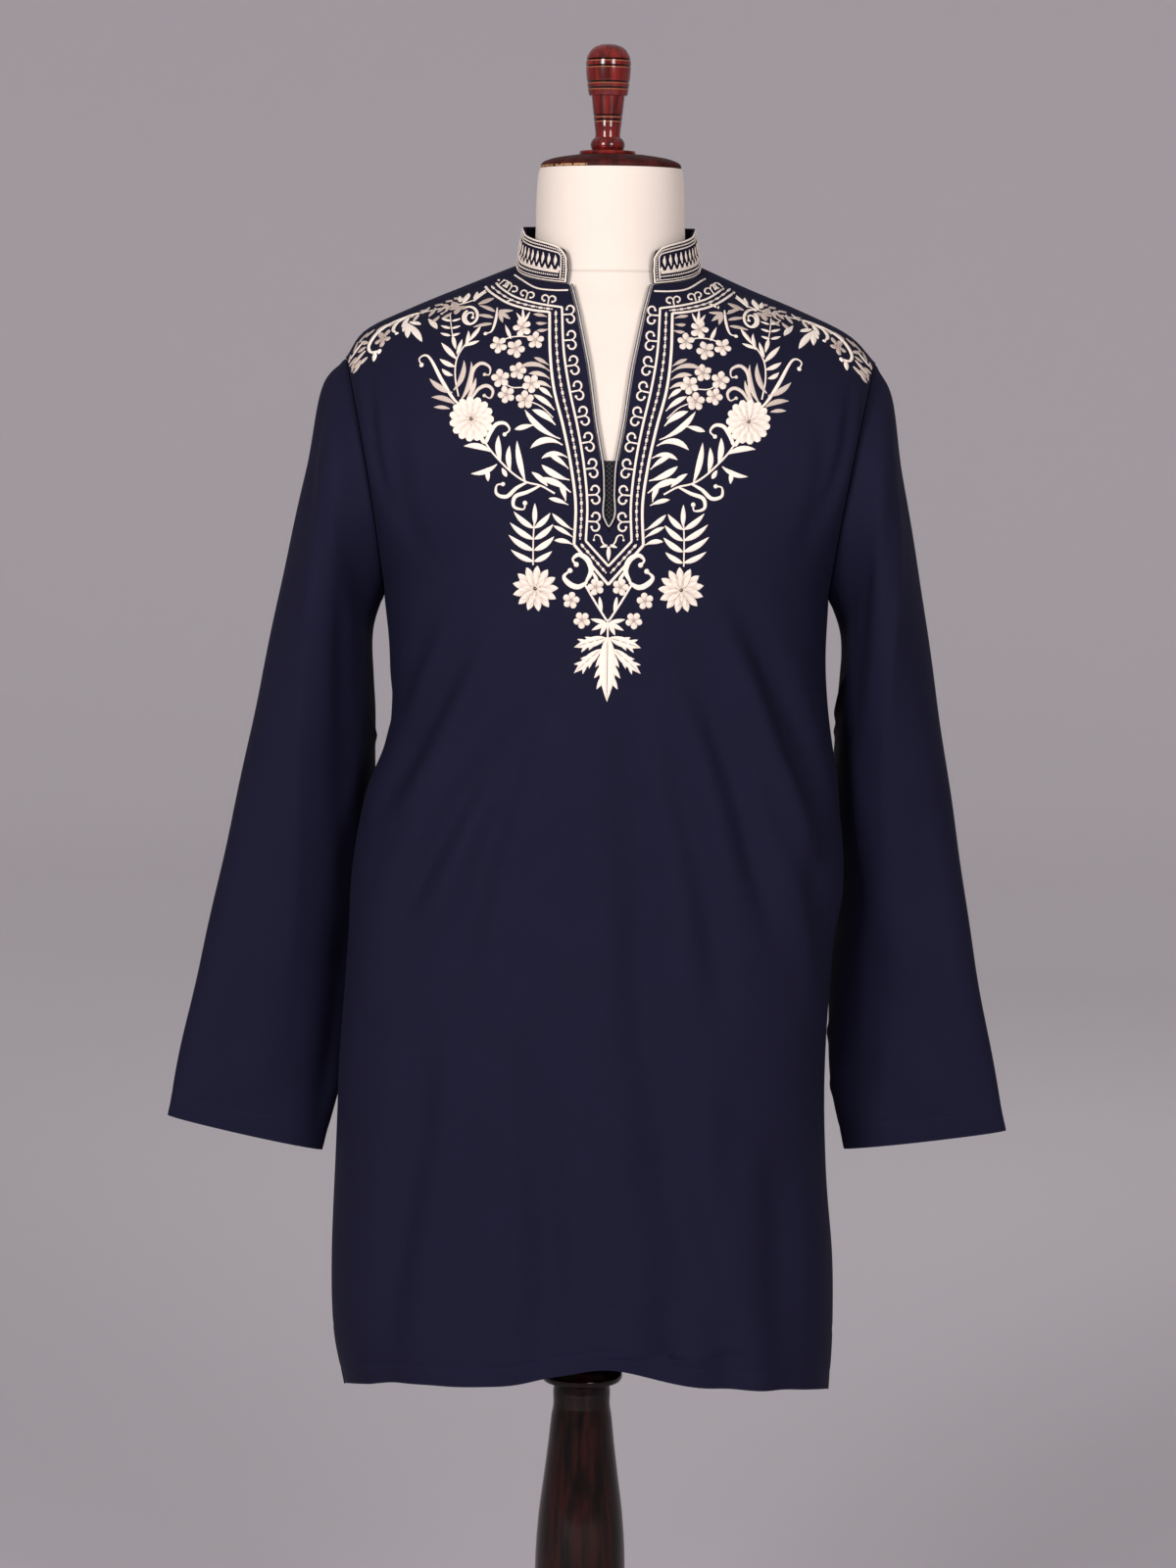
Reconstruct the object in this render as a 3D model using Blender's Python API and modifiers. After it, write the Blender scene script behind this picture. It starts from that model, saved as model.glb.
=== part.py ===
"""Long-sleeved kurta with a band collar and a V slit, worn on a turned wooden dress stand.

Metres, +Z up. The front faces -Y, X runs across the shoulders, and the origin is the middle of
the foot's underside. Each cloth piece is a thin wall of its own, parted from the next by a seam gap.
"""

import math
from collections import namedtuple

import bmesh
import bpy
from mathutils import Vector

# cloth
CLOTH_WALL = 0.0016
SEAM_GAP = 0.0005
ARMHOLE_GAP = 0.0008
PLACKET_WALL = 0.0010
COLLAR_WALL = 0.0020
COLLAR_HEIGHT = 0.0315
PIPING_RADIUS = 0.0015
SHOULDER_RIDGE = 0.0035
ARMHOLE_POINT = 0.40
BACK_SQUARE = 2.05

# how finely the panels are divided
SHOULDER_STEPS = 5
ARMHOLE_STEPS = 12
SIDE_STEPS = 15
FRONT_COLUMNS = 15
BACK_COLUMNS = 10
SLEEVE_STEPS = 15

# stand
NECK_RADIUS = 0.0622
NECK_TOP = 1.5165
FORM_BOTTOM = 0.660
POST_TOP = 0.4840
BASE_RADIUS = 0.200
BASE_THICKNESS = 0.030
FIT_GAP = 0.0003

# One row for each level of the worn body. Up to "tip" the row ends at the shoulder seam, from
# "tip" to "armpit" at the armhole, and below it at the side seam. Turn is how far the front
# has turned from facing forward where the row ends, square how flat its middle is.
BodyRow = namedtuple(
    "BodyRow", "name left_x right_x edge_y edge_z middle_x front_y front_z back_y back_z turn square"
)
BODY = [
    BodyRow("neckline", -0.0625, 0.0880, -0.018, 1.4300, 0.0147, -0.0800, 1.4195, 0.074, 1.4400, 76, 2.0),
    BodyRow("yoke_in", -0.1050, 0.1270, -0.016, 1.4140, 0.0147, -0.0900, 1.4020, 0.086, 1.4220, 80, 2.1),
    BodyRow("yoke_mid", -0.1500, 0.1730, -0.013, 1.3965, 0.0147, -0.0990, 1.3840, 0.095, 1.4020, 83, 2.2),
    BodyRow("yoke_out", -0.1890, 0.2130, -0.009, 1.3790, 0.0147, -0.1075, 1.3650, 0.104, 1.3780, 85, 2.3),
    BodyRow("tip", -0.2058, 0.2360, -0.004, 1.3580, 0.0147, -0.1145, 1.3460, 0.110, 1.3520, 86, 2.3),
    BodyRow("armhole_top", 0.0, 0.0, 0.0, 0.0, 0.0147, -0.1225, 1.3110, 0.1165, 1.3140, 84, 2.3),
    BodyRow("armhole_mid", 0.0, 0.0, 0.0, 0.0, 0.0147, -0.1275, 1.2640, 0.119, 1.2660, 80, 2.3),
    BodyRow("armhole_low", 0.0, 0.0, 0.0, 0.0, 0.0147, -0.1300, 1.2130, 0.119, 1.2120, 80, 2.3),
    BodyRow("armpit", -0.1730, 0.2005, -0.002, 1.1620, 0.0145, -0.1310, 1.1660, 0.118, 1.1620, 90, 2.3),
    BodyRow("chest_low", -0.1670, 0.1990, -0.004, 1.1050, 0.0140, -0.1305, 1.1080, 0.116, 1.1050, 90, 2.3),
    BodyRow("waist", -0.1675, 0.2035, -0.006, 1.0420, 0.0130, -0.1295, 1.0430, 0.115, 1.0420, 90, 2.3),
    BodyRow("waist_fold", -0.1880, 0.2115, -0.008, 0.9900, 0.0110, -0.1290, 0.9900, 0.116, 0.9900, 90, 2.3),
    BodyRow("hip_fold", -0.1985, 0.2170, -0.008, 0.9320, 0.0080, -0.1285, 0.9320, 0.118, 0.9320, 90, 2.3),
    BodyRow("hip", -0.2020, 0.2100, -0.006, 0.8700, 0.0050, -0.1290, 0.8700, 0.121, 0.8700, 90, 2.3),
    BodyRow("slit_top", -0.2085, 0.2045, -0.004, 0.7700, 0.0010, -0.1305, 0.7700, 0.126, 0.7700, 90, 2.3),
    BodyRow("skirt", -0.2125, 0.2060, -0.003, 0.6800, -0.0010, -0.1320, 0.6800, 0.130, 0.6800, 90, 2.3),
    BodyRow("skirt_low", -0.2153, 0.2135, -0.002, 0.5980, 0.0000, -0.1335, 0.6050, 0.133, 0.5980, 90, 2.3),
    BodyRow("facing", -0.2138, 0.2147, 0.000, 0.5300, 0.0020, -0.1345, 0.5500, 0.135, 0.5350, 90, 2.3),
    BodyRow("hem", -0.2045, 0.2125, 0.002, 0.4800, 0.0050, -0.1340, 0.5130, 0.136, 0.4900, 90, 2.3),
]
LEVEL = {row.name: index for index, row in enumerate(BODY)}
LAST_LEVEL = len(BODY) - 1

# The armhole is a loop through four points: the shoulder tip, the armpit and the two mid points.
Armhole = namedtuple("Armhole", "tip armpit front back")
ARMHOLE = {
    "left": Armhole(
        Vector((-0.2058, -0.004, 1.3580)), Vector((-0.1730, -0.002, 1.1620)),
        Vector((-0.1830, -0.073, 1.2600)), Vector((-0.1860, 0.069, 1.2600)),
    ),
    "right": Armhole(
        Vector((0.2360, -0.004, 1.3580)), Vector((0.2005, -0.002, 1.1620)),
        Vector((0.2120, -0.073, 1.2600)), Vector((0.2130, 0.069, 1.2600)),
    ),
}

# Half the width of the neck slit against its height, down to where it closes.
SlitRow = namedtuple("SlitRow", "z half")
SLIT_MIDDLE = 0.0147
SLIT = [
    SlitRow(1.4195, 0.0345), SlitRow(1.3970, 0.0285), SlitRow(1.3550, 0.0228), SlitRow(1.3120, 0.0172),
    SlitRow(1.2770, 0.0092), SlitRow(1.2330, 0.0054), SlitRow(1.2130, 0.0048),
]

# The front hem rises in soft waves: where, how wide and how high.
HemWave = namedtuple("HemWave", "x width rise")
HEM_WAVES = [HemWave(0.018, 0.052, 0.0165), HemWave(-0.140, 0.030, 0.0030)]

# The largest folds: a soft trough along a slanted line, deepest in its middle.
Fold = namedtuple("Fold", "panel top_x top_z low_x low_z width depth")
FOLDS = [
    Fold("front", -0.125, 1.120, -0.180, 0.955, 0.0130, 0.0060),
    Fold("front", -0.085, 1.105, -0.160, 0.860, 0.0130, 0.0055),
    Fold("front", -0.052, 1.110, -0.118, 0.800, 0.0140, 0.0045),
    Fold("front", 0.034, 1.100, 0.060, 0.700, 0.0160, 0.0040),
    Fold("front", 0.085, 1.110, 0.150, 0.880, 0.0140, 0.0050),
    Fold("front", 0.112, 1.210, 0.206, 0.925, 0.0140, 0.0085),
    Fold("front", 0.052, 0.780, 0.074, 0.540, 0.0180, 0.0050),
    Fold("front", -0.040, 0.700, -0.040, 0.500, 0.0160, 0.0055),
    Fold("back", -0.120, 1.130, -0.172, 0.940, 0.0150, 0.0060),
    Fold("back", -0.060, 1.120, -0.115, 0.840, 0.0160, 0.0050),
    Fold("back", 0.010, 1.060, 0.004, 0.700, 0.0180, 0.0045),
    Fold("back", 0.075, 1.130, 0.130, 0.860, 0.0150, 0.0055),
    Fold("back", 0.125, 1.150, 0.185, 0.950, 0.0140, 0.0060),
    Fold("back", 0.060, 0.720, 0.070, 0.520, 0.0180, 0.0050),
]

# One row for each ring of a sleeve: its outer, inner, front and back points.
SleeveRing = namedtuple("SleeveRing", "along outer inner front back")
SLEEVES = {
    "left": [
        SleeveRing(0.07, (-0.2235, 0.000, 1.3370), (-0.1830, 0.010, 1.1330), (-0.2060, -0.078, 1.2470),
                   (-0.2060, 0.080, 1.2440)),
        SleeveRing(0.17, (-0.2378, 0.004, 1.2650), (-0.1830, 0.022, 1.0900), (-0.2165, -0.073, 1.1950),
                   (-0.2140, 0.089, 1.1850)),
        SleeveRing(0.29, (-0.2560, 0.009, 1.1840), (-0.1820, 0.034, 1.0420), (-0.2255, -0.062, 1.1250),
                   (-0.2220, 0.093, 1.1150)),
        SleeveRing(0.45, (-0.2800, 0.014, 1.0700), (-0.1840, 0.050, 0.9700), (-0.2370, -0.044, 1.0300),
                   (-0.2350, 0.092, 1.0200)),
        SleeveRing(0.60, (-0.3035, 0.019, 0.9640), (-0.1890, 0.058, 0.8950), (-0.2490, -0.020, 0.9350),
                   (-0.2480, 0.088, 0.9280)),
        SleeveRing(0.77, (-0.3305, 0.024, 0.8450), (-0.2010, 0.057, 0.8050), (-0.2670, 0.000, 0.8280),
                   (-0.2660, 0.077, 0.8240)),
        SleeveRing(0.93, (-0.3540, 0.028, 0.7400), (-0.2160, 0.046, 0.7150), (-0.2860, 0.014, 0.7290),
                   (-0.2850, 0.059, 0.7270)),
        SleeveRing(1.00, (-0.3595, 0.028, 0.7080), (-0.2265, 0.040, 0.6765), (-0.2930, 0.019, 0.6930),
                   (-0.2930, 0.052, 0.6910)),
    ],
    "right": [
        SleeveRing(0.07, (0.2490, 0.000, 1.3330), (0.2120, 0.010, 1.1330), (0.2330, -0.078, 1.2470),
                   (0.2330, 0.080, 1.2440)),
        SleeveRing(0.17, (0.2600, 0.004, 1.2650), (0.2130, 0.022, 1.0900), (0.2400, -0.073, 1.1950),
                   (0.2380, 0.089, 1.1850)),
        SleeveRing(0.29, (0.2765, 0.009, 1.1840), (0.2110, 0.038, 1.0420), (0.2430, -0.062, 1.1250),
                   (0.2430, 0.093, 1.1150)),
        SleeveRing(0.45, (0.2958, 0.014, 1.0700), (0.2105, 0.060, 0.9700), (0.2490, -0.040, 1.0300),
                   (0.2500, 0.096, 1.0200)),
        SleeveRing(0.60, (0.3140, 0.019, 0.9640), (0.2130, 0.070, 0.8950), (0.2600, -0.014, 0.9350),
                   (0.2620, 0.092, 0.9280)),
        SleeveRing(0.77, (0.3340, 0.024, 0.8450), (0.2100, 0.062, 0.8150), (0.2740, 0.002, 0.8320),
                   (0.2740, 0.080, 0.8290)),
        SleeveRing(0.93, (0.3560, 0.028, 0.7400), (0.2150, 0.046, 0.7230), (0.2850, 0.014, 0.7330),
                   (0.2860, 0.059, 0.7310)),
        SleeveRing(1.00, (0.3637, 0.028, 0.7020), (0.2245, 0.040, 0.6820), (0.2940, 0.019, 0.6930),
                   (0.2940, 0.052, 0.6910)),
    ],
}

# The padded form under the cloth, ring by ring: ease is how far it lies inside the cloth's body
# at the side, at the front and at the back of the same level.
FormRow = namedtuple("FormRow", "level left_x right_x edge_y edge_z front_ease back_ease turn")
FORM = [
    FormRow(0.0, -0.0590, 0.0845, -0.0165, 1.4262, 0.0042, 0.0036, 76),
    FormRow(1.0, -0.1035, 0.1255, -0.0160, 1.4118, 0.0044, 0.0036, 80),
    FormRow(2.0, -0.1480, 0.1710, -0.0130, 1.3943, 0.0046, 0.0036, 83),
    FormRow(3.0, -0.1860, 0.2080, -0.0090, 1.3760, 0.0046, 0.0038, 85),
    FormRow(4.0, -0.1975, 0.2230, -0.0040, 1.3480, 0.0046, 0.0045, 88),
    FormRow(5.0, -0.1900, 0.2160, -0.0030, 1.3080, 0.0046, 0.0055, 90),
    FormRow(6.0, -0.1800, 0.2075, -0.0030, 1.2630, 0.0046, 0.0070, 90),
    FormRow(7.0, -0.1690, 0.1970, -0.0030, 1.2130, 0.0050, 0.0090, 90),
    FormRow(8.0, -0.1560, 0.1850, -0.0030, 1.1650, 0.0070, 0.0120, 90),
    FormRow(9.0, -0.1450, 0.1740, -0.0030, 1.1050, 0.0120, 0.0180, 90),
    FormRow(10.0, -0.1390, 0.1650, -0.0030, 1.0420, 0.0180, 0.0240, 90),
    FormRow(11.0, -0.1400, 0.1630, -0.0030, 0.9900, 0.0220, 0.0250, 90),
    FormRow(12.0, -0.1460, 0.1660, -0.0030, 0.9320, 0.0230, 0.0220, 90),
    FormRow(13.0, -0.1560, 0.1700, -0.0030, 0.8700, 0.0220, 0.0190, 90),
    FormRow(14.0, -0.1640, 0.1700, -0.0030, 0.7700, 0.0240, 0.0200, 90),
]

# Turned profiles: radius and height, from the top down.
FINIAL_CENTRE = (0.0108, -0.002)
FINIAL = [
    (0.0060, 1.6188), (0.0115, 1.6168), (0.0160, 1.6125), (0.0184, 1.6065), (0.0186, 1.6045),
    (0.0180, 1.6038), (0.0186, 1.6030), (0.0187, 1.5990), (0.0176, 1.5890), (0.0170, 1.5862),
    (0.0166, 1.5854), (0.0170, 1.5846), (0.0162, 1.5780), (0.0158, 1.5767), (0.0136, 1.5762),
    (0.0130, 1.5690), (0.0122, 1.5608), (0.0117, 1.5602), (0.0120, 1.5594), (0.0108, 1.5500),
    (0.0099, 1.5420), (0.0106, 1.5370), (0.0141, 1.5318), (0.0233, 1.5312), (0.0236, 1.5298),
    (0.0234, 1.5284),
]
CAP = [
    (0.0240, 1.5281), (0.0400, 1.5262), (0.0500, 1.5242), (0.0560, 1.5218), (0.0585, 1.5192),
    (0.0585, 1.5172), (0.0578, NECK_TOP + FIT_GAP),
]
POST_SOCKET = [
    (0.0500, FORM_BOTTOM - FIT_GAP), (0.0500, 0.6500), (0.0240, 0.6420), (0.0230, 0.5100),
    (0.0300, 0.4960), (0.0345, 0.4930), (0.0348, 0.4890), (0.0335, 0.4866), (0.0240, POST_TOP + FIT_GAP),
]
POST = [
    (0.0235, POST_TOP), (0.0245, 0.4760), (0.0243, 0.4660), (0.0258, 0.4560), (0.0282, 0.4330),
    (0.0322, 0.4000), (0.0362, 0.3680), (0.0386, 0.3330), (0.0388, 0.3000), (0.0365, 0.2600),
    (0.0325, 0.2100), (0.0290, 0.1500), (0.0285, 0.1000), (0.0310, 0.0750), (0.0300, 0.0700),
    (0.0440, 0.0600), (0.0480, 0.0500), (0.0470, 0.0400), (0.0420, BASE_THICKNESS + FIT_GAP),
]
BASE = [
    (0.0600, BASE_THICKNESS), (0.1700, 0.0270), (0.1880, 0.0230), (0.1970, 0.0170), (BASE_RADIUS, 0.0110),
    (0.1990, 0.0040), (0.1960, 0.0),
]


def clear_scene():
    for found in list(bpy.data.objects):
        bpy.data.objects.remove(found, do_unlink=True)


def make_material(name, colour, roughness, metallic=0.0):
    material = bpy.data.materials.new(name)
    material.use_nodes = True
    shader = material.node_tree.nodes["Principled BSDF"]
    shader.inputs["Base Color"].default_value = (*colour, 1.0)
    shader.inputs["Roughness"].default_value = roughness
    shader.inputs["Metallic"].default_value = metallic
    return material


# ---- smooth reading of the tables ----

def spline(before, start, end, after, share):
    """One value between start and end, with the neighbours setting the slope."""
    return 0.5 * (
        2.0 * start
        + (end - before) * share
        + (2.0 * before - 5.0 * start + 4.0 * end - after) * share ** 2
        + (3.0 * start - before - 3.0 * end + after) * share ** 3
    )


def read_table(values, position):
    """The smooth value of an evenly spaced list at a fractional position."""
    last = len(values) - 1
    index = min(int(position), last - 1)
    share = position - index
    before = values[index - 1] if index > 0 else 2.0 * values[0] - values[1]
    after = values[index + 2] if index + 2 <= last else 2.0 * values[last] - values[last - 1]
    return spline(before, values[index], values[index + 1], after, share)


def read_steps(keys, values, position):
    """The value between unevenly spaced keys, eased at each of them."""
    rising = keys[-1] > keys[0]
    for index in range(len(keys) - 1):
        inside = position <= keys[index + 1] if rising else position >= keys[index + 1]
        if inside or index == len(keys) - 2:
            share = (position - keys[index]) / (keys[index + 1] - keys[index])
            return values[index] + (values[index + 1] - values[index]) * min(max(share, 0.0), 1.0)
    return values[-1]


# ---- the worn body ----

def loop_point(tip, armpit, middle, angle, point):
    """A point of a loop that narrows towards its tip and armpit by the given share."""
    centre = (tip + armpit) / 2.0
    depth = math.sin(angle) * (1.0 - point * math.cos(angle) ** 2)
    return centre + (tip - centre) * math.cos(angle) + (middle - centre) * depth


def armhole_point(side, half, turn):
    """A point of the armhole: turn 0 at the shoulder tip, 180 at the armpit."""
    loop = ARMHOLE[side]
    middle = loop.front if half == "front" else loop.back
    return loop_point(loop.tip, loop.armpit, middle, math.radians(turn), ARMHOLE_POINT)


def body_value(name, level):
    return read_table([getattr(row, name) for row in BODY], level)


def edge_point(side, half, level):
    """Where a row of a panel ends: shoulder seam, armhole or side seam."""
    tip, armpit = LEVEL["tip"], LEVEL["armpit"]
    if tip < level < armpit:
        return armhole_point(side, half, 180.0 * (level - tip) / (armpit - tip))
    rows = BODY[:tip + 1] if level <= tip else BODY[armpit:]
    place = level if level <= tip else level - armpit
    side_x = read_table([getattr(row, side + "_x") for row in rows], place)
    side_y = read_table([row.edge_y for row in rows], place)
    side_z = read_table([row.edge_z for row in rows], place)
    return Vector((side_x, side_y, side_z))


def round_share(angle, end, square):
    """How far across and how far back a row has come at an angle, as shares of its end."""
    def at(value):
        reach = (abs(math.sin(value)) ** square + abs(math.cos(value)) ** square) ** (-1.0 / square)
        return reach * math.sin(value), 1.0 - reach * math.cos(value)
    across, back = at(angle)
    across_end, back_end = at(end)
    return across / across_end, back / back_end


def rise_power(level):
    """How late a row rises towards its end: late at the neck, evenly from the shoulder tip on."""
    return 1.3 - 0.3 * min(level / LEVEL["tip"], 1.0)


def row_turn(half, level):
    """The front stops short of the side at the shoulder, and the back goes on past it."""
    turn = math.radians(body_value("turn", level))
    return turn if half == "front" or level >= LEVEL["armhole_top"] else math.pi - turn


def fold_offset(half, x, z):
    offset = 0.0
    for fold in FOLDS:
        if fold.panel != half:
            continue
        run_x, run_z = fold.low_x - fold.top_x, fold.low_z - fold.top_z
        length = math.hypot(run_x, run_z)
        along = ((x - fold.top_x) * run_x + (z - fold.top_z) * run_z) / length ** 2
        if not -0.15 < along < 1.15:
            continue
        away = ((x - fold.top_x) * run_z - (z - fold.top_z) * run_x) / length
        fade = math.sin(math.pi * min(max((along + 0.15) / 1.3, 0.0), 1.0))
        share = away / fold.width
        offset -= fold.depth * fade * (math.exp(-share ** 2) - 0.45 * math.exp(-(abs(share) - 1.9) ** 2))
    return offset


def plain_point(side, half, level, share):
    """A point of the body without folds, from the middle (0) to the end of the row (1)."""
    end = edge_point(side, half, level)
    turn = row_turn(half, level)
    square = body_value("square", level) if half == "front" else BACK_SQUARE
    across, back = round_share(share * turn, turn, square)
    middle_x = body_value("middle_x", level)
    middle_y = body_value(half + "_y", level)
    middle_z = body_value(half + "_z", level)
    x = middle_x + (end.x - middle_x) * across
    y = middle_y + (end.y - middle_y) * back
    z = middle_z + (end.z - middle_z) * max(back, 0.0) ** rise_power(level)
    if half == "back":
        z += SHOULDER_RIDGE * min(max((5.0 - level) / 1.5, 0.0), 1.0) * math.sin(math.pi * share ** 5)
    else:
        near_hem = max(0.0, (level - LEVEL["skirt_low"]) / (LAST_LEVEL - LEVEL["skirt_low"])) ** 2
        z += near_hem * sum(wave.rise * math.exp(-((x - wave.x) / wave.width) ** 2) for wave in HEM_WAVES)
    return Vector((x, y, z))


def body_point(side, half, level, share):
    """A point of the cloth's outer side."""
    point = plain_point(side, half, level, share)
    step = 0.02
    beside = plain_point(side, half, level, min(share + step, 1.0)) - plain_point(
        side, half, level, max(share - step, 0.0))
    outward = Vector((beside.y, -beside.x, 0.0)).normalized()
    if outward.y * (1.0 if half == "front" else -1.0) > 0.0:
        outward = -outward
    calm = min(1.0, (1.0 - share) / 0.10)
    return point + outward * fold_offset(half, point.x, point.z) * calm


def slit_share(side, level):
    """The share of the row at which the slit's edge lies."""
    middle_z = body_value("front_z", level)
    half_gap = read_steps([row.z for row in SLIT], [row.half for row in SLIT], middle_z)
    target = SLIT_MIDDLE + (half_gap if side == "right" else -half_gap)
    low, high = 0.0, 0.9
    for _ in range(40):
        middle = (low + high) / 2.0
        x = plain_point(side, "front", level, middle).x
        inside = x < target if side == "right" else x > target
        low, high = (middle, high) if inside else (low, middle)
    return low


def panel_levels():
    tip, armpit = LEVEL["tip"], LEVEL["armpit"]
    levels = [tip * step / SHOULDER_STEPS for step in range(SHOULDER_STEPS)]
    levels += [tip + (armpit - tip) * step / ARMHOLE_STEPS for step in range(ARMHOLE_STEPS)]
    levels += [armpit + (LAST_LEVEL - armpit) * step / SIDE_STEPS for step in range(SIDE_STEPS + 1)]
    return levels


# ---- objects ----

def finish_object(name, mesh, collection, material):
    built = bpy.data.objects.new(name, mesh)
    collection.objects.link(built)
    mesh.materials.append(material)
    mesh.shade_smooth()
    return built


def grid_mesh(name, rows, around=False):
    """A sheet from rows of points; around closes each row."""
    work = bmesh.new()
    made = [[work.verts.new(point) for point in row] for row in rows]
    for upper, lower in zip(made[:-1], made[1:]):
        count = len(upper) if around else len(upper) - 1
        for index in range(count):
            nxt = (index + 1) % len(upper)
            work.faces.new((upper[index], lower[index], lower[nxt], upper[nxt]))
    mesh = bpy.data.meshes.new(name)
    work.normal_update()
    work.to_mesh(mesh)
    work.free()
    return mesh


def add_wall(built, thickness):
    wall = built.modifiers.new("wall", "SOLIDIFY")
    wall.thickness = thickness
    wall.offset = -1.0
    wall.use_even_offset = False
    wall.use_rim = True


def front_panel(collection, material):
    """The front, as two halves that share their middle line below the slit."""
    levels = panel_levels()
    slit_end = next(index for index, level in enumerate(levels) if level >= LEVEL["armhole_low"] - 1e-6)
    work = bmesh.new()
    middle = {}
    for side in ("left", "right"):
        made = []
        for row, level in enumerate(levels):
            first = slit_share(side, level) if row < slit_end else 0.0
            line = []
            for column in range(FRONT_COLUMNS + 1):
                share = first + (1.0 - first) * column / FRONT_COLUMNS
                point = body_point(side, "front", level, share)
                if column == FRONT_COLUMNS and level >= LEVEL["armpit"]:
                    point.y -= SEAM_GAP / 2.0 + side_slit_gap(level)
                if column == FRONT_COLUMNS and level <= LEVEL["tip"]:
                    point += Vector((0.0, -SEAM_GAP, -SEAM_GAP / 4.0))
                if column == 0 and row >= slit_end:
                    if row not in middle:
                        middle[row] = work.verts.new(point)
                    line.append(middle[row])
                else:
                    line.append(work.verts.new(point))
            made.append(line)
        for upper, lower in zip(made[:-1], made[1:]):
            for index in range(FRONT_COLUMNS):
                corners = [upper[index], lower[index], lower[index + 1], upper[index + 1]]
                work.faces.new(corners if side == "right" else corners[::-1])
    mesh = bpy.data.meshes.new("front")
    work.normal_update()
    work.to_mesh(mesh)
    work.free()
    built = finish_object("front", mesh, collection, material)
    add_wall(built, CLOTH_WALL)
    return built


def side_slit_gap(level):
    """The side slits open a little from the level where the side seam ends."""
    below = max(0.0, level - LEVEL["slit_top"])
    return 0.0016 * below


def back_panel(collection, material):
    rows = []
    for level in panel_levels():
        line = []
        for side, shares in (("left", range(BACK_COLUMNS, 0, -1)), ("right", range(BACK_COLUMNS + 1))):
            for column in shares:
                point = body_point(side, "back", level, column / BACK_COLUMNS)
                if column == BACK_COLUMNS and level >= LEVEL["armpit"]:
                    point.y += SEAM_GAP / 2.0 + side_slit_gap(level)
                line.append(point)
        rows.append(line[::-1])
    built = finish_object("back", grid_mesh("back", rows), collection, material)
    add_wall(built, CLOTH_WALL)
    return built


def sleeve_ring(side, along, count):
    """The points of one ring, from the outer line over the front to the inner line and round."""
    rings = SLEEVES[side]
    loop = ARMHOLE[side]
    keys = [0.0] + [ring.along for ring in rings]
    lines = {
        "outer": [loop.tip] + [Vector(ring.outer) for ring in rings],
        "inner": [loop.armpit] + [Vector(ring.inner) for ring in rings],
        "front": [loop.front] + [Vector(ring.front) for ring in rings],
        "back": [loop.back] + [Vector(ring.back) for ring in rings],
    }
    place = next((i for i in range(len(keys) - 1) if along <= keys[i + 1] + 1e-9), len(keys) - 2)
    place += (along - keys[place]) / (keys[place + 1] - keys[place])
    point = {
        name: Vector([read_table([value[axis] for value in line], place) for axis in range(3)])
        for name, line in lines.items()
    }
    pointed = ARMHOLE_POINT * max(0.0, 1.0 - along / 0.5)
    ring = []
    for index in range(count):
        angle = 2.0 * math.pi * index / count
        middle = point["front"] if 2 * index <= count else point["back"]
        angle = min(angle, 2.0 * math.pi - angle)
        ring.append(loop_point(point["outer"], point["inner"], middle, angle, pointed))
    return ring


def sleeve(side, collection, material):
    count = 2 * ARMHOLE_STEPS
    rows = [sleeve_ring(side, (step / SLEEVE_STEPS) ** 1.1, count) for step in range(SLEEVE_STEPS + 1)]
    rows[0] = [
        first + (second - first).normalized() * ARMHOLE_GAP for first, second in zip(rows[0], rows[1])
    ]
    if side == "right":
        rows = [row[::-1] for row in rows]
    name = "sleeve_" + side
    built = finish_object(name, grid_mesh(name, rows, around=True), collection, material)
    add_wall(built, CLOTH_WALL)
    return built


def neckline_point(turn):
    """A point of the neckline: turn -180 to 180 degrees, 0 at the middle of the front."""
    side = "right" if turn >= 0.0 else "left"
    seam = body_value("turn", 0.0)
    if abs(turn) <= seam:
        return plain_point(side, "front", 0.0, abs(turn) / seam)
    return plain_point(side, "back", 0.0, (180.0 - abs(turn)) / (180.0 - seam))


def collar(collection, material):
    """A band that stands on the neckline and leans in, with its front ends rounded at the top."""
    start = 0.0
    while abs(neckline_point(start).x - SLIT_MIDDLE) < SLIT[0].half:
        start += 0.5
    steps, rises = 36, 3
    centre = neckline_point(90.0).lerp(neckline_point(-90.0), 0.5)
    rows = []
    for rise in range(rises + 1):
        height = rise / rises
        line = []
        for step in range(steps + 1):
            turn = start + (360.0 - 2.0 * start) * step / steps
            turn = turn if turn <= 180.0 else turn - 360.0
            corner = 4.0 * max(0.0, 1.0 - min(step, steps - step) / 3.0) ** 2
            turn += math.copysign(corner * height ** 3, turn)
            point = neckline_point(turn)
            away = Vector((point.x - centre.x, point.y - centre.y, 0.0)).normalized()
            lean = -0.0055 * height
            drop = 0.0045 * height ** 2 * max(0.0, 1.0 - min(step, steps - step) / 3.0) ** 2
            rising = SEAM_GAP + COLLAR_HEIGHT * height - drop
            line.append(point + away * lean + Vector((0.0, 0.0, rising)))
        rows.append(line)
    built = finish_object("collar", grid_mesh("collar", rows[::-1]), collection, material)
    add_wall(built, COLLAR_WALL)
    return built


def slit_path(side, levels, inset):
    """Points along one edge of the slit, moved towards its middle."""
    sign = 1.0 if side == "right" else -1.0
    path = []
    for level in levels:
        point = plain_point(side, "front", level, slit_share(side, level))
        path.append(point + Vector((-sign * inset, 0.0002, 0.0)))
    return path


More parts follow.
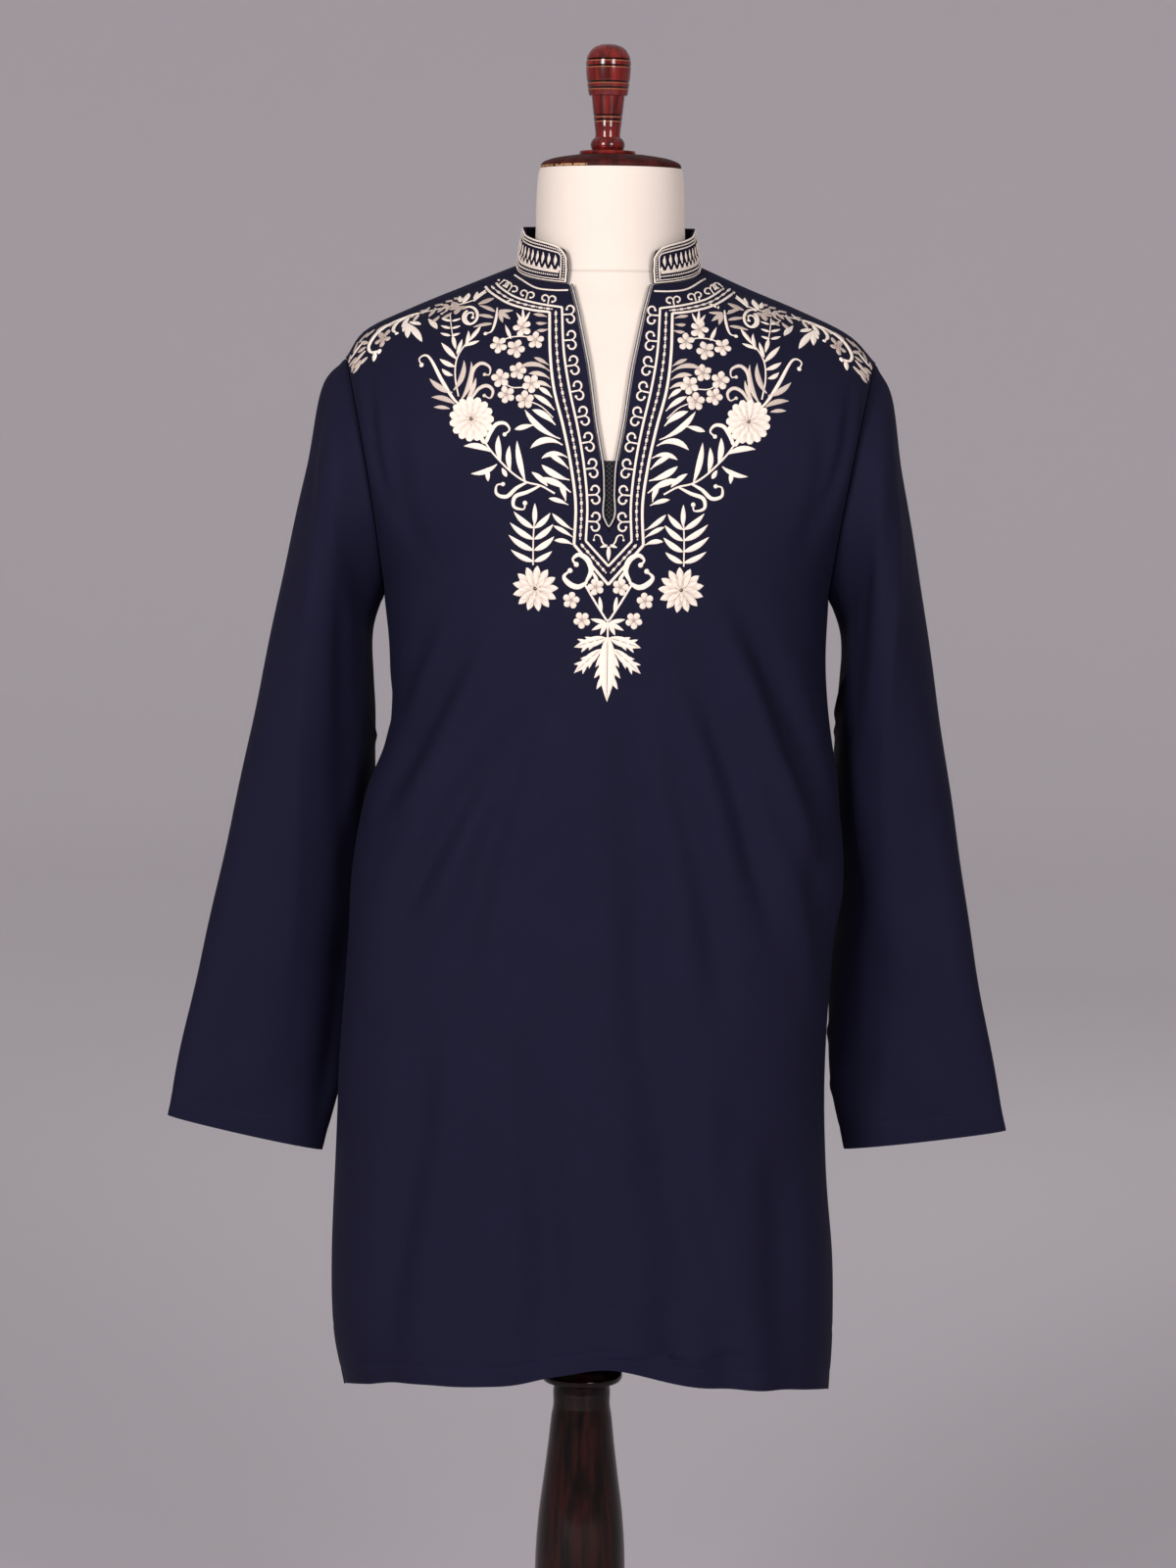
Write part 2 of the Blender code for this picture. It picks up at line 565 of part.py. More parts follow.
def slit_piping(collection, material):
    """One round binding down the left edge, round the bottom and up the right edge."""
    inset = PIPING_RADIUS + SEAM_GAP
    levels = [0.04] + [level for level in panel_levels() if 0.04 < level < LEVEL["armhole_low"] - 0.01]
    left = slit_path("left", levels, inset)
    right = slit_path("right", levels, inset)
    bottom = (left[-1] + right[-1]) / 2.0 + Vector((0.0, 0.0, -0.0050))
    curve = bpy.data.curves.new("slit_piping", "CURVE")
    curve.dimensions = "3D"
    curve.bevel_depth = PIPING_RADIUS
    curve.bevel_resolution = 2
    curve.use_fill_caps = True
    points = left + [bottom] + right[::-1]
    line = curve.splines.new("POLY")
    line.points.add(len(points) - 1)
    for spot, point in zip(line.points, points):
        spot.co = (*point, 1.0)
    built = bpy.data.objects.new("slit_piping", curve)
    collection.objects.link(built)
    curve.materials.append(material)
    return built


def inner_placket(collection, material):
    """A strip behind the lower slit, made from the front's own points moved in."""
    depth = CLOTH_WALL + SEAM_GAP
    half = 0.017
    rows = []
    for step in range(7):
        level = 5.3 + 2.0 * step / 6
        line = []
        for column in range(7):
            x = SLIT_MIDDLE + half * (column / 3.0 - 1.0)
            side = "right" if x >= SLIT_MIDDLE else "left"
            low, high = 0.0, 0.9
            for _ in range(30):
                middle = (low + high) / 2.0
                found = plain_point(side, "front", level, middle).x
                inside = found < x if side == "right" else found > x
                low, high = (middle, high) if inside else (low, middle)
            point = plain_point(side, "front", level, low)
            line.append(point + Vector((0.0, depth, 0.0)))
        rows.append(line)
    built = finish_object("inner_placket", grid_mesh("inner_placket", rows), collection, material)
    add_wall(built, PLACKET_WALL)
    return built


# ---- the dress stand ----

def form_ring(row, count):
    """One ring of the padded form, inside the cloth of the same level."""
    ring = []
    front_turn = math.radians(row.turn)
    quarter = count // 4
    for index in range(count):
        half = "front" if index <= quarter or index >= 3 * quarter else "back"
        side = "right" if index <= 2 * quarter else "left"
        share = abs((index + quarter) % (2 * quarter) - quarter) / quarter
        turn = front_turn if half == "front" else math.pi - front_turn
        square = body_value("square", row.level) if half == "front" else BACK_SQUARE
        across, back = round_share(share * turn, turn, square)
        sign, ease = (1.0, row.front_ease) if half == "front" else (-1.0, row.back_ease)
        end_x = row.right_x if side == "right" else row.left_x
        middle_x = body_value("middle_x", row.level)
        middle_y = body_value(half + "_y", row.level) + sign * ease
        middle_z = body_value(half + "_z", row.level) - 0.6 * ease
        ring.append(Vector((
            middle_x + (end_x - middle_x) * across,
            middle_y + (row.edge_y - middle_y) * back,
            middle_z + (row.edge_z - middle_z) * max(back, 0.0) ** rise_power(row.level),
        )))
    return ring


def read_form(level):
    names = FormRow._fields[1:]
    return FormRow(level, *[read_table([getattr(row, name) for row in FORM], level) for name in names])


def form_torso(collection, material):
    """Neck, shoulders, chest, waist and hips as one smooth closed body."""
    count = 32
    centre_x = (FORM[0].left_x + FORM[0].right_x) / 2.0 + 0.001
    rings = []
    for height, radius in (
        (NECK_TOP, 0.0590), (1.5100, 0.0606), (1.4900, 0.0618), (1.4650, NECK_RADIUS), (1.4480, 0.0630),
        (1.4370, 0.0646),
    ):
        angles = [2.0 * math.pi * index / count for index in range(count)]
        rings.append([
            Vector((centre_x + radius * math.sin(angle), -0.004 - radius * math.cos(angle), height))
            for angle in angles
        ])
    for step in range(18):
        rings.append(form_ring(read_form(14.0 * step / 17), count))
    last = rings[-1]
    middle = sum(last, Vector()) / count
    for height, scale in ((0.715, 1.0), (0.680, 0.985), (FORM_BOTTOM + 0.004, 0.955), (FORM_BOTTOM, 0.93)):
        rings.append([
            Vector((middle.x + (point.x - middle.x) * scale, middle.y + (point.y - middle.y) * scale, height))
            for point in last
        ])
    work = bmesh.new()
    made = [[work.verts.new(point) for point in ring] for ring in rings]
    for upper, lower in zip(made[:-1], made[1:]):
        for index in range(count):
            nxt = (index + 1) % count
            work.faces.new((upper[index], lower[index], lower[nxt], upper[nxt]))
    work.faces.new(made[0])
    work.faces.new(made[-1][::-1])
    bmesh.ops.recalc_face_normals(work, faces=work.faces)
    mesh = bpy.data.meshes.new("form_torso")
    work.to_mesh(mesh)
    work.free()
    return finish_object("form_torso", mesh, collection, material)


def turned(name, profile, centre, steps, collection, material):
    """A solid of revolution, from the top of its outer side down, closed at both ends."""
    mesh = bpy.data.meshes.new(name)
    points = [(0.0, 0.0, profile[0][1])] + [(radius, 0.0, height) for radius, height in profile]
    points.append((0.0, 0.0, profile[-1][1]))
    mesh.from_pydata(points, [(i, i + 1) for i in range(len(points) - 1)], [])
    built = bpy.data.objects.new(name, mesh)
    collection.objects.link(built)
    mesh.materials.append(material)
    built.location = (centre[0], centre[1], 0.0)
    screw = built.modifiers.new("turn", "SCREW")
    screw.steps = steps
    screw.render_steps = steps
    screw.use_merge_vertices = True
    screw.merge_threshold = 0.00005
    screw.use_smooth_shade = True
    return built


def build():
    clear_scene()
    collection = bpy.data.collections.new("kurta_on_stand")
    bpy.context.scene.collection.children.link(collection)
    navy = make_material("navy_cloth", (0.016, 0.015, 0.029), 0.85)
    silver = make_material("piping", (0.16, 0.16, 0.18), 0.6)
    net = make_material("placket_net", (0.012, 0.011, 0.018), 0.8)
    cream = make_material("cream_cover", (0.90, 0.79, 0.72), 0.8)
    red = make_material("lacquered_red_wood", (0.21, 0.010, 0.008), 0.18)
    brown = make_material("dark_turned_wood", (0.035, 0.010, 0.007), 0.15)

    front_panel(collection, navy)
    back_panel(collection, navy)
    sleeve("left", collection, navy)
    sleeve("right", collection, navy)
    collar(collection, navy)
    slit_piping(collection, silver)
    inner_placket(collection, net)
    form_torso(collection, cream)
    turned("neck_cap", CAP, (0.0137, -0.004), 32, collection, red)
    turned("finial", FINIAL, FINIAL_CENTRE, 20, collection, red)
    turned("post_socket", POST_SOCKET, (0.0, 0.0), 24, collection, brown)
    turned("post", POST, (0.0, 0.0), 24, collection, brown)
    turned("stand_base", BASE, (0.0, 0.0), 40, collection, brown)


build()
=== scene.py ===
import math

import bpy
import numpy as np
from mathutils import Euler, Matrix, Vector
from mathutils.bvhtree import BVHTree


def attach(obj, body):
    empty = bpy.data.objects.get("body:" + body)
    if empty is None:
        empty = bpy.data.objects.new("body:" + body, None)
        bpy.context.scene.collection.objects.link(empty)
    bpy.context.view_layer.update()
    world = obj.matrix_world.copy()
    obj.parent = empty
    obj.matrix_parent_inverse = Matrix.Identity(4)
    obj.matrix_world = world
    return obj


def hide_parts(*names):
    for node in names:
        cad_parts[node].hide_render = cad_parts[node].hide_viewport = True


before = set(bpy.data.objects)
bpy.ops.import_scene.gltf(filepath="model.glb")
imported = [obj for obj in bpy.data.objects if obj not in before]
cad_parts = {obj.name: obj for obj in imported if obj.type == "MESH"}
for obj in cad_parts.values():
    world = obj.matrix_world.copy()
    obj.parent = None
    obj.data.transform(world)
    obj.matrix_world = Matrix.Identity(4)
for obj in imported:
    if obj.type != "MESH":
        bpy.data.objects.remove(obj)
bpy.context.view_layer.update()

print("frame loaded")


# camera

cameraSetup = {
    "place": (0.0, -3.3, 1.36), "down": 6.2, "roll": 0.6, "lens": 90.0, "sensor": 36.0, "sees": 60.0,
    "view": "Standard",
}


def addObject(name, data):
    thing = bpy.data.objects.new(name, data)
    bpy.context.scene.collection.objects.link(thing)
    return thing


def addCamera():
    data = bpy.data.cameras.new("camera")
    data.lens = cameraSetup["lens"]
    data.sensor_width = cameraSetup["sensor"]
    data.clip_end = cameraSetup["sees"]
    camera = addObject("camera", data)
    tilt = Euler((math.radians(90.0 - cameraSetup["down"]), 0.0, 0.0)).to_matrix()
    roll = Euler((0.0, 0.0, math.radians(cameraSetup["roll"]))).to_matrix()
    camera.rotation_euler = (tilt @ roll).to_euler()
    camera.location = cameraSetup["place"]
    bpy.context.scene.camera = camera
    bpy.context.scene.view_settings.view_transform = cameraSetup["view"]


addCamera()
print("camera set")


# small helpers

def pick(piece):
    if bpy.context.object and bpy.context.object.mode != "OBJECT":
        bpy.ops.object.mode_set(mode="OBJECT")
    bpy.ops.object.select_all(action="DESELECT")
    if piece:
        piece.select_set(True)
        bpy.context.view_layer.objects.active = piece


def mergeTwins():
    bpy.ops.mesh.remove_doubles(threshold=0.00001)


def closeHoles():
    bpy.ops.mesh.fill_holes(sides=0)


def faceOutward():
    bpy.ops.mesh.normals_make_consistent(inside=False)


def editMesh(piece, *steps):  # each step works on the whole mesh
    pick(piece)
    bpy.ops.object.mode_set(mode="EDIT")
    for step in steps:
        bpy.ops.mesh.select_all(action="SELECT")
        step()
    bpy.ops.object.mode_set(mode="OBJECT")


def applyModifier(piece, kind, **settings):
    pick(piece)
    modifier = piece.modifiers.new(kind.lower(), kind)
    for name, value in settings.items():
        setattr(modifier, name, value)
    bpy.ops.object.modifier_apply(modifier=modifier.name)


def thicken(piece, wall):
    applyModifier(piece, "SOLIDIFY", thickness=wall, offset=-1.0, use_rim=True)


def finishPiece(piece, material, nodes=(), angle=40.0):
    pick(piece)
    piece.data.materials.clear()
    piece.data.materials.append(material)
    bpy.ops.object.shade_smooth_by_angle(angle=math.radians(angle))
    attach(piece, "root")
    if nodes:
        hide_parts(*nodes)
    return piece


def treeOf(piece):
    mesh = piece.data
    return BVHTree.FromPolygons([vertex.co.copy() for vertex in mesh.vertices],
                                [tuple(face.vertices) for face in mesh.polygons])


def sideSign(side):
    return 1.0 if side == "right" else -1.0


def unit(vectors):
    return vectors / np.maximum(np.linalg.norm(vectors, axis=-1, keepdims=True), 1e-12)


def easeIn(share):
    return share * share * (3.0 - 2.0 * share)


def runLength(points):  # how far along a line each of its points lies
    return np.concatenate([[0.0], np.cumsum(np.linalg.norm(np.diff(points, axis=0), axis=1))])


def smoothRead(values, places):  # evenly spaced values, read with the neighbours' slope
    values = np.asarray(values, float)
    last = len(values) - 1
    places = np.asarray(places, float)
    index = np.clip(places.astype(int), 0, last - 1)
    share = places - index
    padded = np.concatenate([[2.0 * values[0] - values[1]], values, [2.0 * values[-1] - values[-2]]])
    if values.ndim > 1:
        share = share.reshape(share.shape + (1,) * (values.ndim - 1))
    a, b, c, d = (padded[index + step] for step in range(4))
    return 0.5 * (2.0 * b + (c - a) * share + (2.0 * a - 5.0 * b + 4.0 * c - d) * share ** 2
                  + (3.0 * b - a - 3.0 * c + d) * share ** 3)


def smoothBetween(keys, values, places):  # unevenly spaced keys, rising
    keys, values = np.asarray(keys, float), np.asarray(values, float)
    step = np.diff(keys)
    rise = np.diff(values) / step
    slope = np.empty(len(keys))
    slope[0], slope[-1] = rise[0], rise[-1]
    slope[1:-1] = (rise[:-1] * step[1:] + rise[1:] * step[:-1]) / (step[1:] + step[:-1])
    places = np.clip(places, keys[0], keys[-1])
    index = np.clip(np.searchsorted(keys, places, side="right") - 1, 0, len(keys) - 2)
    t = (places - keys[index]) / step[index]
    leave = (t ** 3 - 2 * t ** 2 + t) * slope[index]
    arrive = (t ** 3 - t ** 2) * slope[index + 1]
    share = 3 * t ** 2 - 2 * t ** 3
    return (1 - share) * values[index] + share * values[index + 1] + (leave + arrive) * step[index]


def evenPath(points, step):
    length = runLength(points)
    count = max(2, int(round(length[-1] / step)) + 1)
    places = np.linspace(0.0, length[-1], count)
    return np.stack([smoothBetween(length, column, places) for column in points.T], axis=1)


def gridNormals(points):
    return unit(np.cross(np.gradient(points, axis=1), np.gradient(points, axis=0)))


def gridMetres(points):  # the cloth's own width and length, in tenths of a metre
    across = np.linalg.norm(np.diff(points, axis=1), axis=2)
    up = np.linalg.norm(np.diff(points, axis=0), axis=2)
    wide = np.zeros(points.shape[:2])
    wide[:, 1:] = np.cumsum(across, axis=1)
    wide -= wide[:, -1:] / 2.0
    tall = np.zeros(points.shape[:2])
    tall[1:] = np.cumsum(up, axis=0)
    return np.stack([wide, np.broadcast_to(tall.mean(axis=1, keepdims=True), wide.shape)], axis=2) * 10.0


def setUv(mesh, layer, values):
    corners = np.empty(len(mesh.loops), int)
    mesh.loops.foreach_get("vertex_index", corners)
    layer.data.foreach_set("uv", values[corners].reshape(-1))


def gridPiece(name, points, metres=None):  # a plain grid shaped to the given points, rows from the bottom up
    rows, columns = points.shape[:2]
    pick(None)
    bpy.ops.mesh.primitive_grid_add(x_subdivisions=columns - 1, y_subdivisions=rows - 1, size=1.0)
    piece = bpy.context.object
    piece.name = name
    mesh = piece.data
    mesh.name = name
    mesh.vertices.foreach_set("co", points.reshape(-1))
    metres = gridMetres(points) if metres is None else metres
    setUv(mesh, mesh.uv_layers.active, metres.reshape(-1, 2))
    mesh.update()
    return piece


def joinPieces(pieces, name):
    pick(pieces[0])
    for piece in pieces:
        piece.select_set(True)
    bpy.ops.object.join()
    joined = bpy.context.object
    joined.name = name
    joined.data.name = name
    return joined


# materials

def newMaterial(name, sockets):
    material = bpy.data.materials.new(name)
    material.use_nodes = True
    shader = material.node_tree.nodes["Principled BSDF"]
    for socket, value in sockets.items():
        shader.inputs[socket].default_value = value
    return material, material.node_tree, shader


def addNode(tree, kind, settings=None, values=None):
    node = tree.nodes.new("ShaderNode" + kind)
    for key, value in (settings or {}).items():
        setattr(node, key, value)
    for socket, value in (values or {}).items():
        if isinstance(value, bpy.types.NodeSocket):
            tree.links.new(value, node.inputs[socket])
        else:
            node.inputs[socket].default_value = value
    return node


def mathNode(tree, operation, first, second=0.0):
    return addNode(tree, "Math", {"operation": operation}, {0: first, 1: second}).outputs[0]


def times(tree, first, second):
    return mathNode(tree, "MULTIPLY", first, second)


def plus(tree, first, second):
    return mathNode(tree, "ADD", first, second)


def minus(tree, first, second):
    return mathNode(tree, "SUBTRACT", first, second)


def awayFrom(tree, value, centre):
    return mathNode(tree, "ABSOLUTE", minus(tree, value, centre))


def mixColour(tree, share, first, second):
    return addNode(tree, "Mix", {"data_type": "RGBA"}, {0: share, 6: first, 7: second}).outputs[2]


def spread(tree, value, low, high, first=0.0, last=1.0):
    values = {0: value, 1: low, 2: high, 3: first, 4: last}
    return addNode(tree, "MapRange", {"interpolation_type": "SMOOTHSTEP"}, values).outputs[0]


def placeOf(tree, kind):
    return addNode(tree, "TexCoord").outputs[kind]


def splitOf(tree, place):
    return addNode(tree, "SeparateXYZ", None, {0: place}).outputs


def stretched(tree, source, scale):
    return addNode(tree, "Mapping", None, {"Vector": source, "Scale": scale}).outputs[0]


def noise(tree, source, scale, detail=2.0):
    return addNode(tree, "TexNoise", None, {"Vector": source, "Scale": scale, "Detail": detail}).outputs[0]


def bands(tree, source, direction, scale, distortion=0.0):
    values = {"Vector": source, "Scale": scale, "Distortion": distortion}
    return addNode(tree, "TexWave", {"wave_type": "BANDS", "bands_direction": direction}, values).outputs[1]


def finishMaterial(tree, shader, colour, height, strength, distance=0.0004):
    tree.links.new(colour, shader.inputs["Base Color"])
    bump = addNode(tree, "Bump", None, {"Strength": strength, "Distance": distance, "Height": height})
    tree.links.new(bump.outputs[0], shader.inputs["Normal"])


clothLook = {
    "deep": (0.0040, 0.0036, 0.0132), "worn": (0.0064, 0.0059, 0.0186),
    "threads": 62.0, "weftShare": 0.92, "uneven": 0.35, "weave": 0.30, "bump": 0.35,
    "sockets": {"Roughness": 0.78, "Sheen Weight": 0.008, "Sheen Roughness": 0.42,
                "Sheen Tint": (0.42, 0.44, 0.72, 1.0), "Specular IOR Level": 0.09},
}


def navyMaterial(name, lighter=1.0):
    look = clothLook
    material, tree, shader = newMaterial(name, look["sockets"])
    uv = placeOf(tree, "UV")
    warp = bands(tree, uv, "X", look["threads"], look["uneven"])
    weft = bands(tree, uv, "Y", look["threads"] * look["weftShare"], look["uneven"])
    weave = times(tree, warp, weft)
    slub = noise(tree, stretched(tree, uv, (9.0, 160.0, 1.0)), 1.0, 3.0)
    cloud = noise(tree, uv, 2.4, 3.0)
    tone = plus(tree, times(tree, slub, 0.5), times(tree, cloud, 0.5))
    deep, pale = (tuple(value * lighter for value in look[key]) + (1.0,) for key in ("deep", "worn"))
    colour = mixColour(tree, times(tree, weave, look["weave"]), mixColour(tree, tone, deep, pale), pale)
    height = plus(tree, times(tree, weave, 0.6), times(tree, slub, 0.7))
    finishMaterial(tree, shader, colour, height, look["bump"])
    return material


# the darker cream serves both random mottling and painted shade along the seam
coverLook = {
    "colour": (0.61, 0.525, 0.465, 1.0), "mottleAndSeamShade": (0.46, 0.385, 0.335, 1.0),
    "seamHeight": 1.4312, "seamWidth": 0.0018, "seamDepth": 2.5, "bump": 0.45,
    "sockets": {"Roughness": 0.82, "Sheen Weight": 0.08, "Specular IOR Level": 0.2},
}


def creamMaterial():
    look = coverLook
    material, tree, shader = newMaterial("creamCotton", look["sockets"])
    place = placeOf(tree, "Object")
    cloud = noise(tree, place, 14.0, 4.0)
    fine = noise(tree, stretched(tree, place, (1.0, 1.0, 2.2)), 900.0, 2.0)
    rows = bands(tree, place, "Z", 340.0, 0.6)
    away = awayFrom(tree, splitOf(tree, place)[2], look["seamHeight"])
    seam = spread(tree, away, 0.0, look["seamWidth"], 1.0, 0.0)
    colour = mixColour(tree, times(tree, cloud, 0.35), look["colour"], look["mottleAndSeamShade"])
    # painted shade: the cover is darkened along the seam's groove
    colour = mixColour(tree, times(tree, seam, 0.75), colour, look["mottleAndSeamShade"])
    height = minus(tree, plus(tree, times(tree, rows, 0.4), fine), times(tree, seam, look["seamDepth"]))
    finishMaterial(tree, shader, colour, height, look["bump"])
    return material


woodLooks = {
    "lacqueredRedWood": {"deep": (0.046, 0.0032, 0.0028, 1.0), "warm": (0.175, 0.0105, 0.0072, 1.0),
                         "roughness": 0.22, "coat": 0.55, "chipped": False,
                         "rings": (1.6062, 1.6008, 1.5878, 1.5828, 1.5604, 1.5566)},
    "lacqueredCap": {"deep": (0.022, 0.0024, 0.0020, 1.0), "warm": (0.062, 0.0075, 0.0055, 1.0),
                     "roughness": 0.60, "coat": 0.0, "chipped": True, "rings": ()},
    "darkTurnedWood": {"deep": (0.0016, 0.0004, 0.0003, 1.0), "warm": (0.0170, 0.0026, 0.0018, 1.0),
                       "roughness": 0.20, "coat": 0.22, "chipped": False, "rings": ()},
}
woodMarks = {
    "grooveShade": (0.0030, 0.0006, 0.0005, 1.0), "grooveShadeHalf": (0.0005, 0.0009),
    "thin": (0.26, 0.085, 0.040, 1.0), "thinBelow": 0.0013, "thinHalf": (0.0002, 0.0006), "thinShare": 0.85,
    "chip": (0.34, 0.19, 0.085, 1.0), "chipBelow": 1.5186, "chipLeftOf": -0.006, "chipOver": 0.47,
}


def woodMaterial(name):
    look, marks = woodLooks[name], woodMarks
    material, tree, shader = newMaterial(name, {
        "Roughness": look["roughness"], "Coat Weight": look["coat"], "Coat Roughness": 0.05,
        "Specular IOR Level": 0.12})
    place = placeOf(tree, "Object")
    x, _, height = splitOf(tree, place)
    grain = noise(tree, stretched(tree, place, (60.0, 60.0, 4.5)), 3.0, 6.0)
    pores = noise(tree, stretched(tree, place, (900.0, 900.0, 28.0)), 1.0, 2.0)
    colour = mixColour(tree, spread(tree, grain, 0.35, 0.68), look["deep"], look["warm"])
    colour = mixColour(tree, times(tree, pores, 0.25), colour, look["deep"])
    for ring in look["rings"]:  # painted shade darkens the turned grooves, and a lighter band is painted just below each
        away = awayFrom(tree, height, ring - marks["thinBelow"])
        thin = spread(tree, away, *marks["thinHalf"], marks["thinShare"], 0.0)
        grooveShade = spread(tree, awayFrom(tree, height, ring), *marks["grooveShadeHalf"], 1.0, 0.0)
        colour = mixColour(tree, grooveShade, mixColour(tree, thin, colour, marks["thin"]), marks["grooveShade"])
    if look["chipped"]:  # bare wood on the cap's worn edge
        low = mathNode(tree, "LESS_THAN", height, marks["chipBelow"])
        left = mathNode(tree, "LESS_THAN", x, marks["chipLeftOf"])
        patch = mathNode(tree, "GREATER_THAN", noise(tree, place, 120.0, 3.0), marks["chipOver"])
        colour = mixColour(tree, times(tree, times(tree, low, left), patch), colour, marks["chip"])
    relief = plus(tree, times(tree, grain, 0.5), times(tree, pores, 0.3))
    finishMaterial(tree, shader, colour, relief, 0.12)
    return material


twistLook = {
    "dark": (0.22, 0.20, 0.20, 1.0), "bright": (0.80, 0.74, 0.70, 1.0),
    "sockets": {"Roughness": 0.42, "Sheen Weight": 0.1, "Specular IOR Level": 0.5, "Metallic": 0.2},
}


def twistMaterial():
    material, tree, shader = newMaterial("silverTwist", twistLook["sockets"])
    place = placeOf(tree, "Object")
    speck = noise(tree, place, 1400.0, 2.0)
    share = times(tree, plus(tree, speck, noise(tree, place, 60.0, 3.0)), 0.55)
    colour = mixColour(tree, share, twistLook["dark"], twistLook["bright"])
    finishMaterial(tree, shader, colour, speck, 0.5, 0.0002)
    return material


netLook = {
    "hole": (0.0022, 0.0022, 0.0034, 1.0), "thread": (0.030, 0.027, 0.029, 1.0), "mesh": 16.0,
    "sockets": {"Roughness": 0.8, "Sheen Weight": 0.02, "Specular IOR Level": 0.1},
}


def netMaterial():
    material, tree, shader = newMaterial("darkNet", netLook["sockets"])
    uv = placeOf(tree, "UV")
    across = bands(tree, uv, "DIAGONAL", netLook["mesh"])
    down = bands(tree, stretched(tree, uv, (-1.0, 1.0, 1.0)), "DIAGONAL", netLook["mesh"])
    holes = spread(tree, times(tree, across, down), 0.02, 0.30)
    colour = mixColour(tree, holes, netLook["hole"], netLook["thread"])
    finishMaterial(tree, shader, colour, minus(tree, 1.0, holes), 0.6)
    return material


threadLook = {
    "cream": (0.79, 0.67, 0.58, 1.0), "taupe": (0.33, 0.235, 0.195, 1.0), "gap": (0.13, 0.09, 0.075, 1.0),
    "shine": (0.92, 0.84, 0.77, 1.0), "stitches": 34.0, "gapShadeShare": 0.30, "shineShare": 0.18, "bump": 0.6,
    "sockets": {"Roughness": 0.5, "Sheen Weight": 0.10, "Sheen Roughness": 0.3, "Specular IOR Level": 0.35},
}


def threadMaterial():
    look = threadLook
    material, tree, shader = newMaterial("satinThread", look["sockets"])
    uv = placeOf(tree, "UV")
    tone = addNode(tree, "Attribute", {"attribute_name": "tone"}).outputs["Fac"]
    stitches = bands(tree, uv, "X", look["stitches"], 1.2)
    loose = noise(tree, stretched(tree, uv, (90.0, 6.0, 1.0)), 1.0, 2.0)
    colour = mixColour(tree, tone, look["cream"], look["taupe"])
    # painted shade: the thread is darkened in the troughs between the satin stitches
    gap = times(tree, spread(tree, stitches, 0.55, 0.05), look["gapShadeShare"])
    colour = mixColour(tree, gap, colour, look["gap"])
    colour = mixColour(tree, times(tree, loose, look["shineShare"]), colour, look["shine"])
    finishMaterial(tree, shader, colour, plus(tree, stitches, loose), look["bump"])
    return material


navyCloth = navyMaterial("navyCloth")
navyThread = navyMaterial("navyThread", lighter=2.4)
creamCover = creamMaterial()
woods = {name: woodMaterial(name) for name in woodLooks}
silverTwist = twistMaterial()
darkNet = netMaterial()
satinThread = threadMaterial()
print("materials mixed")


# the worn body: one row for each level, from the neckline down

# millimetres, but for turn, how far the front has turned in degrees where the row ends, and square
bodyNames = (
    "leftX", "rightX", "edgeY", "edgeZ", "middleX", "frontY", "frontZ", "backY", "backZ", "turn", "square",
)
bodyRows = {
    "neckline": (-62.5, 88, -18, 1430, 14.7, -80, 1419.5, 74, 1440, 76, 2),
    "yokeIn": (-105, 127, -16, 1414, 14.7, -90, 1402, 86, 1422, 80, 2.1),
    "yokeMid": (-150, 173, -13, 1396.5, 14.7, -99, 1384, 95, 1402, 83, 2.2),
    "yokeOut": (-189, 213, -9, 1379, 14.7, -107.5, 1365, 104, 1378, 85, 2.3),
    "tip": (-205.8, 236, -4, 1358, 14.7, -114.5, 1346, 110, 1352, 86, 2.3),
    "armholeTop": (0, 0, 0, 0, 14.7, -122.5, 1311, 116.5, 1314, 84, 2.3),
    "armholeMid": (0, 0, 0, 0, 14.7, -127.5, 1264, 119, 1266, 80, 2.3),
    "armholeLow": (0, 0, 0, 0, 14.7, -130, 1213, 119, 1212, 80, 2.3),
    "armpit": (-173, 200.5, -2, 1162, 14.5, -131, 1166, 118, 1162, 90, 2.3),
    "chestLow": (-167, 199, -4, 1105, 14, -130.5, 1108, 116, 1105, 90, 2.3),
    "waist": (-167.5, 203.5, -6, 1042, 13, -129.5, 1043, 115, 1042, 90, 2.3),
    "waistFold": (-188, 211.5, -8, 990, 11, -129, 990, 116, 990, 90, 2.3),
    "hipFold": (-198.5, 217, -8, 932, 8, -128.5, 932, 118, 932, 90, 2.3),
    "hip": (-202, 210, -6, 870, 5, -129, 870, 121, 870, 90, 2.3),
    "slitTop": (-208.5, 204.5, -4, 770, 1, -130.5, 770, 126, 770, 90, 2.3),
    "skirt": (-212.5, 206, -3, 680, -1, -132, 680, 130, 680, 90, 2.3),
    "skirtLow": (-215.3, 213.5, -2, 598, 0, -133.5, 605, 133, 598, 90, 2.3),
    "facing": (-213.8, 214.7, 0, 530, 2, -134.5, 550, 135, 535, 90, 2.3),
    "hem": (-204.5, 212.5, 2, 480, 5, -134, 513, 136, 490, 90, 2.3),
}
bodyUnits = {"turn": 1.0, "square": 1.0}
bodyColumn = {
    name: np.array([row[place] for row in bodyRows.values()]) * bodyUnits.get(name, 0.001)
    for place, name in enumerate(bodyNames)}
bodyLevels = list(bodyRows)
tipLevel, armholeTopLevel, armpitLevel, slitLevel, skirtLowLevel, hemLevel = (
    bodyLevels.index(name) for name in ("tip", "armholeTop", "armpit", "slitTop", "skirtLow", "hem"))

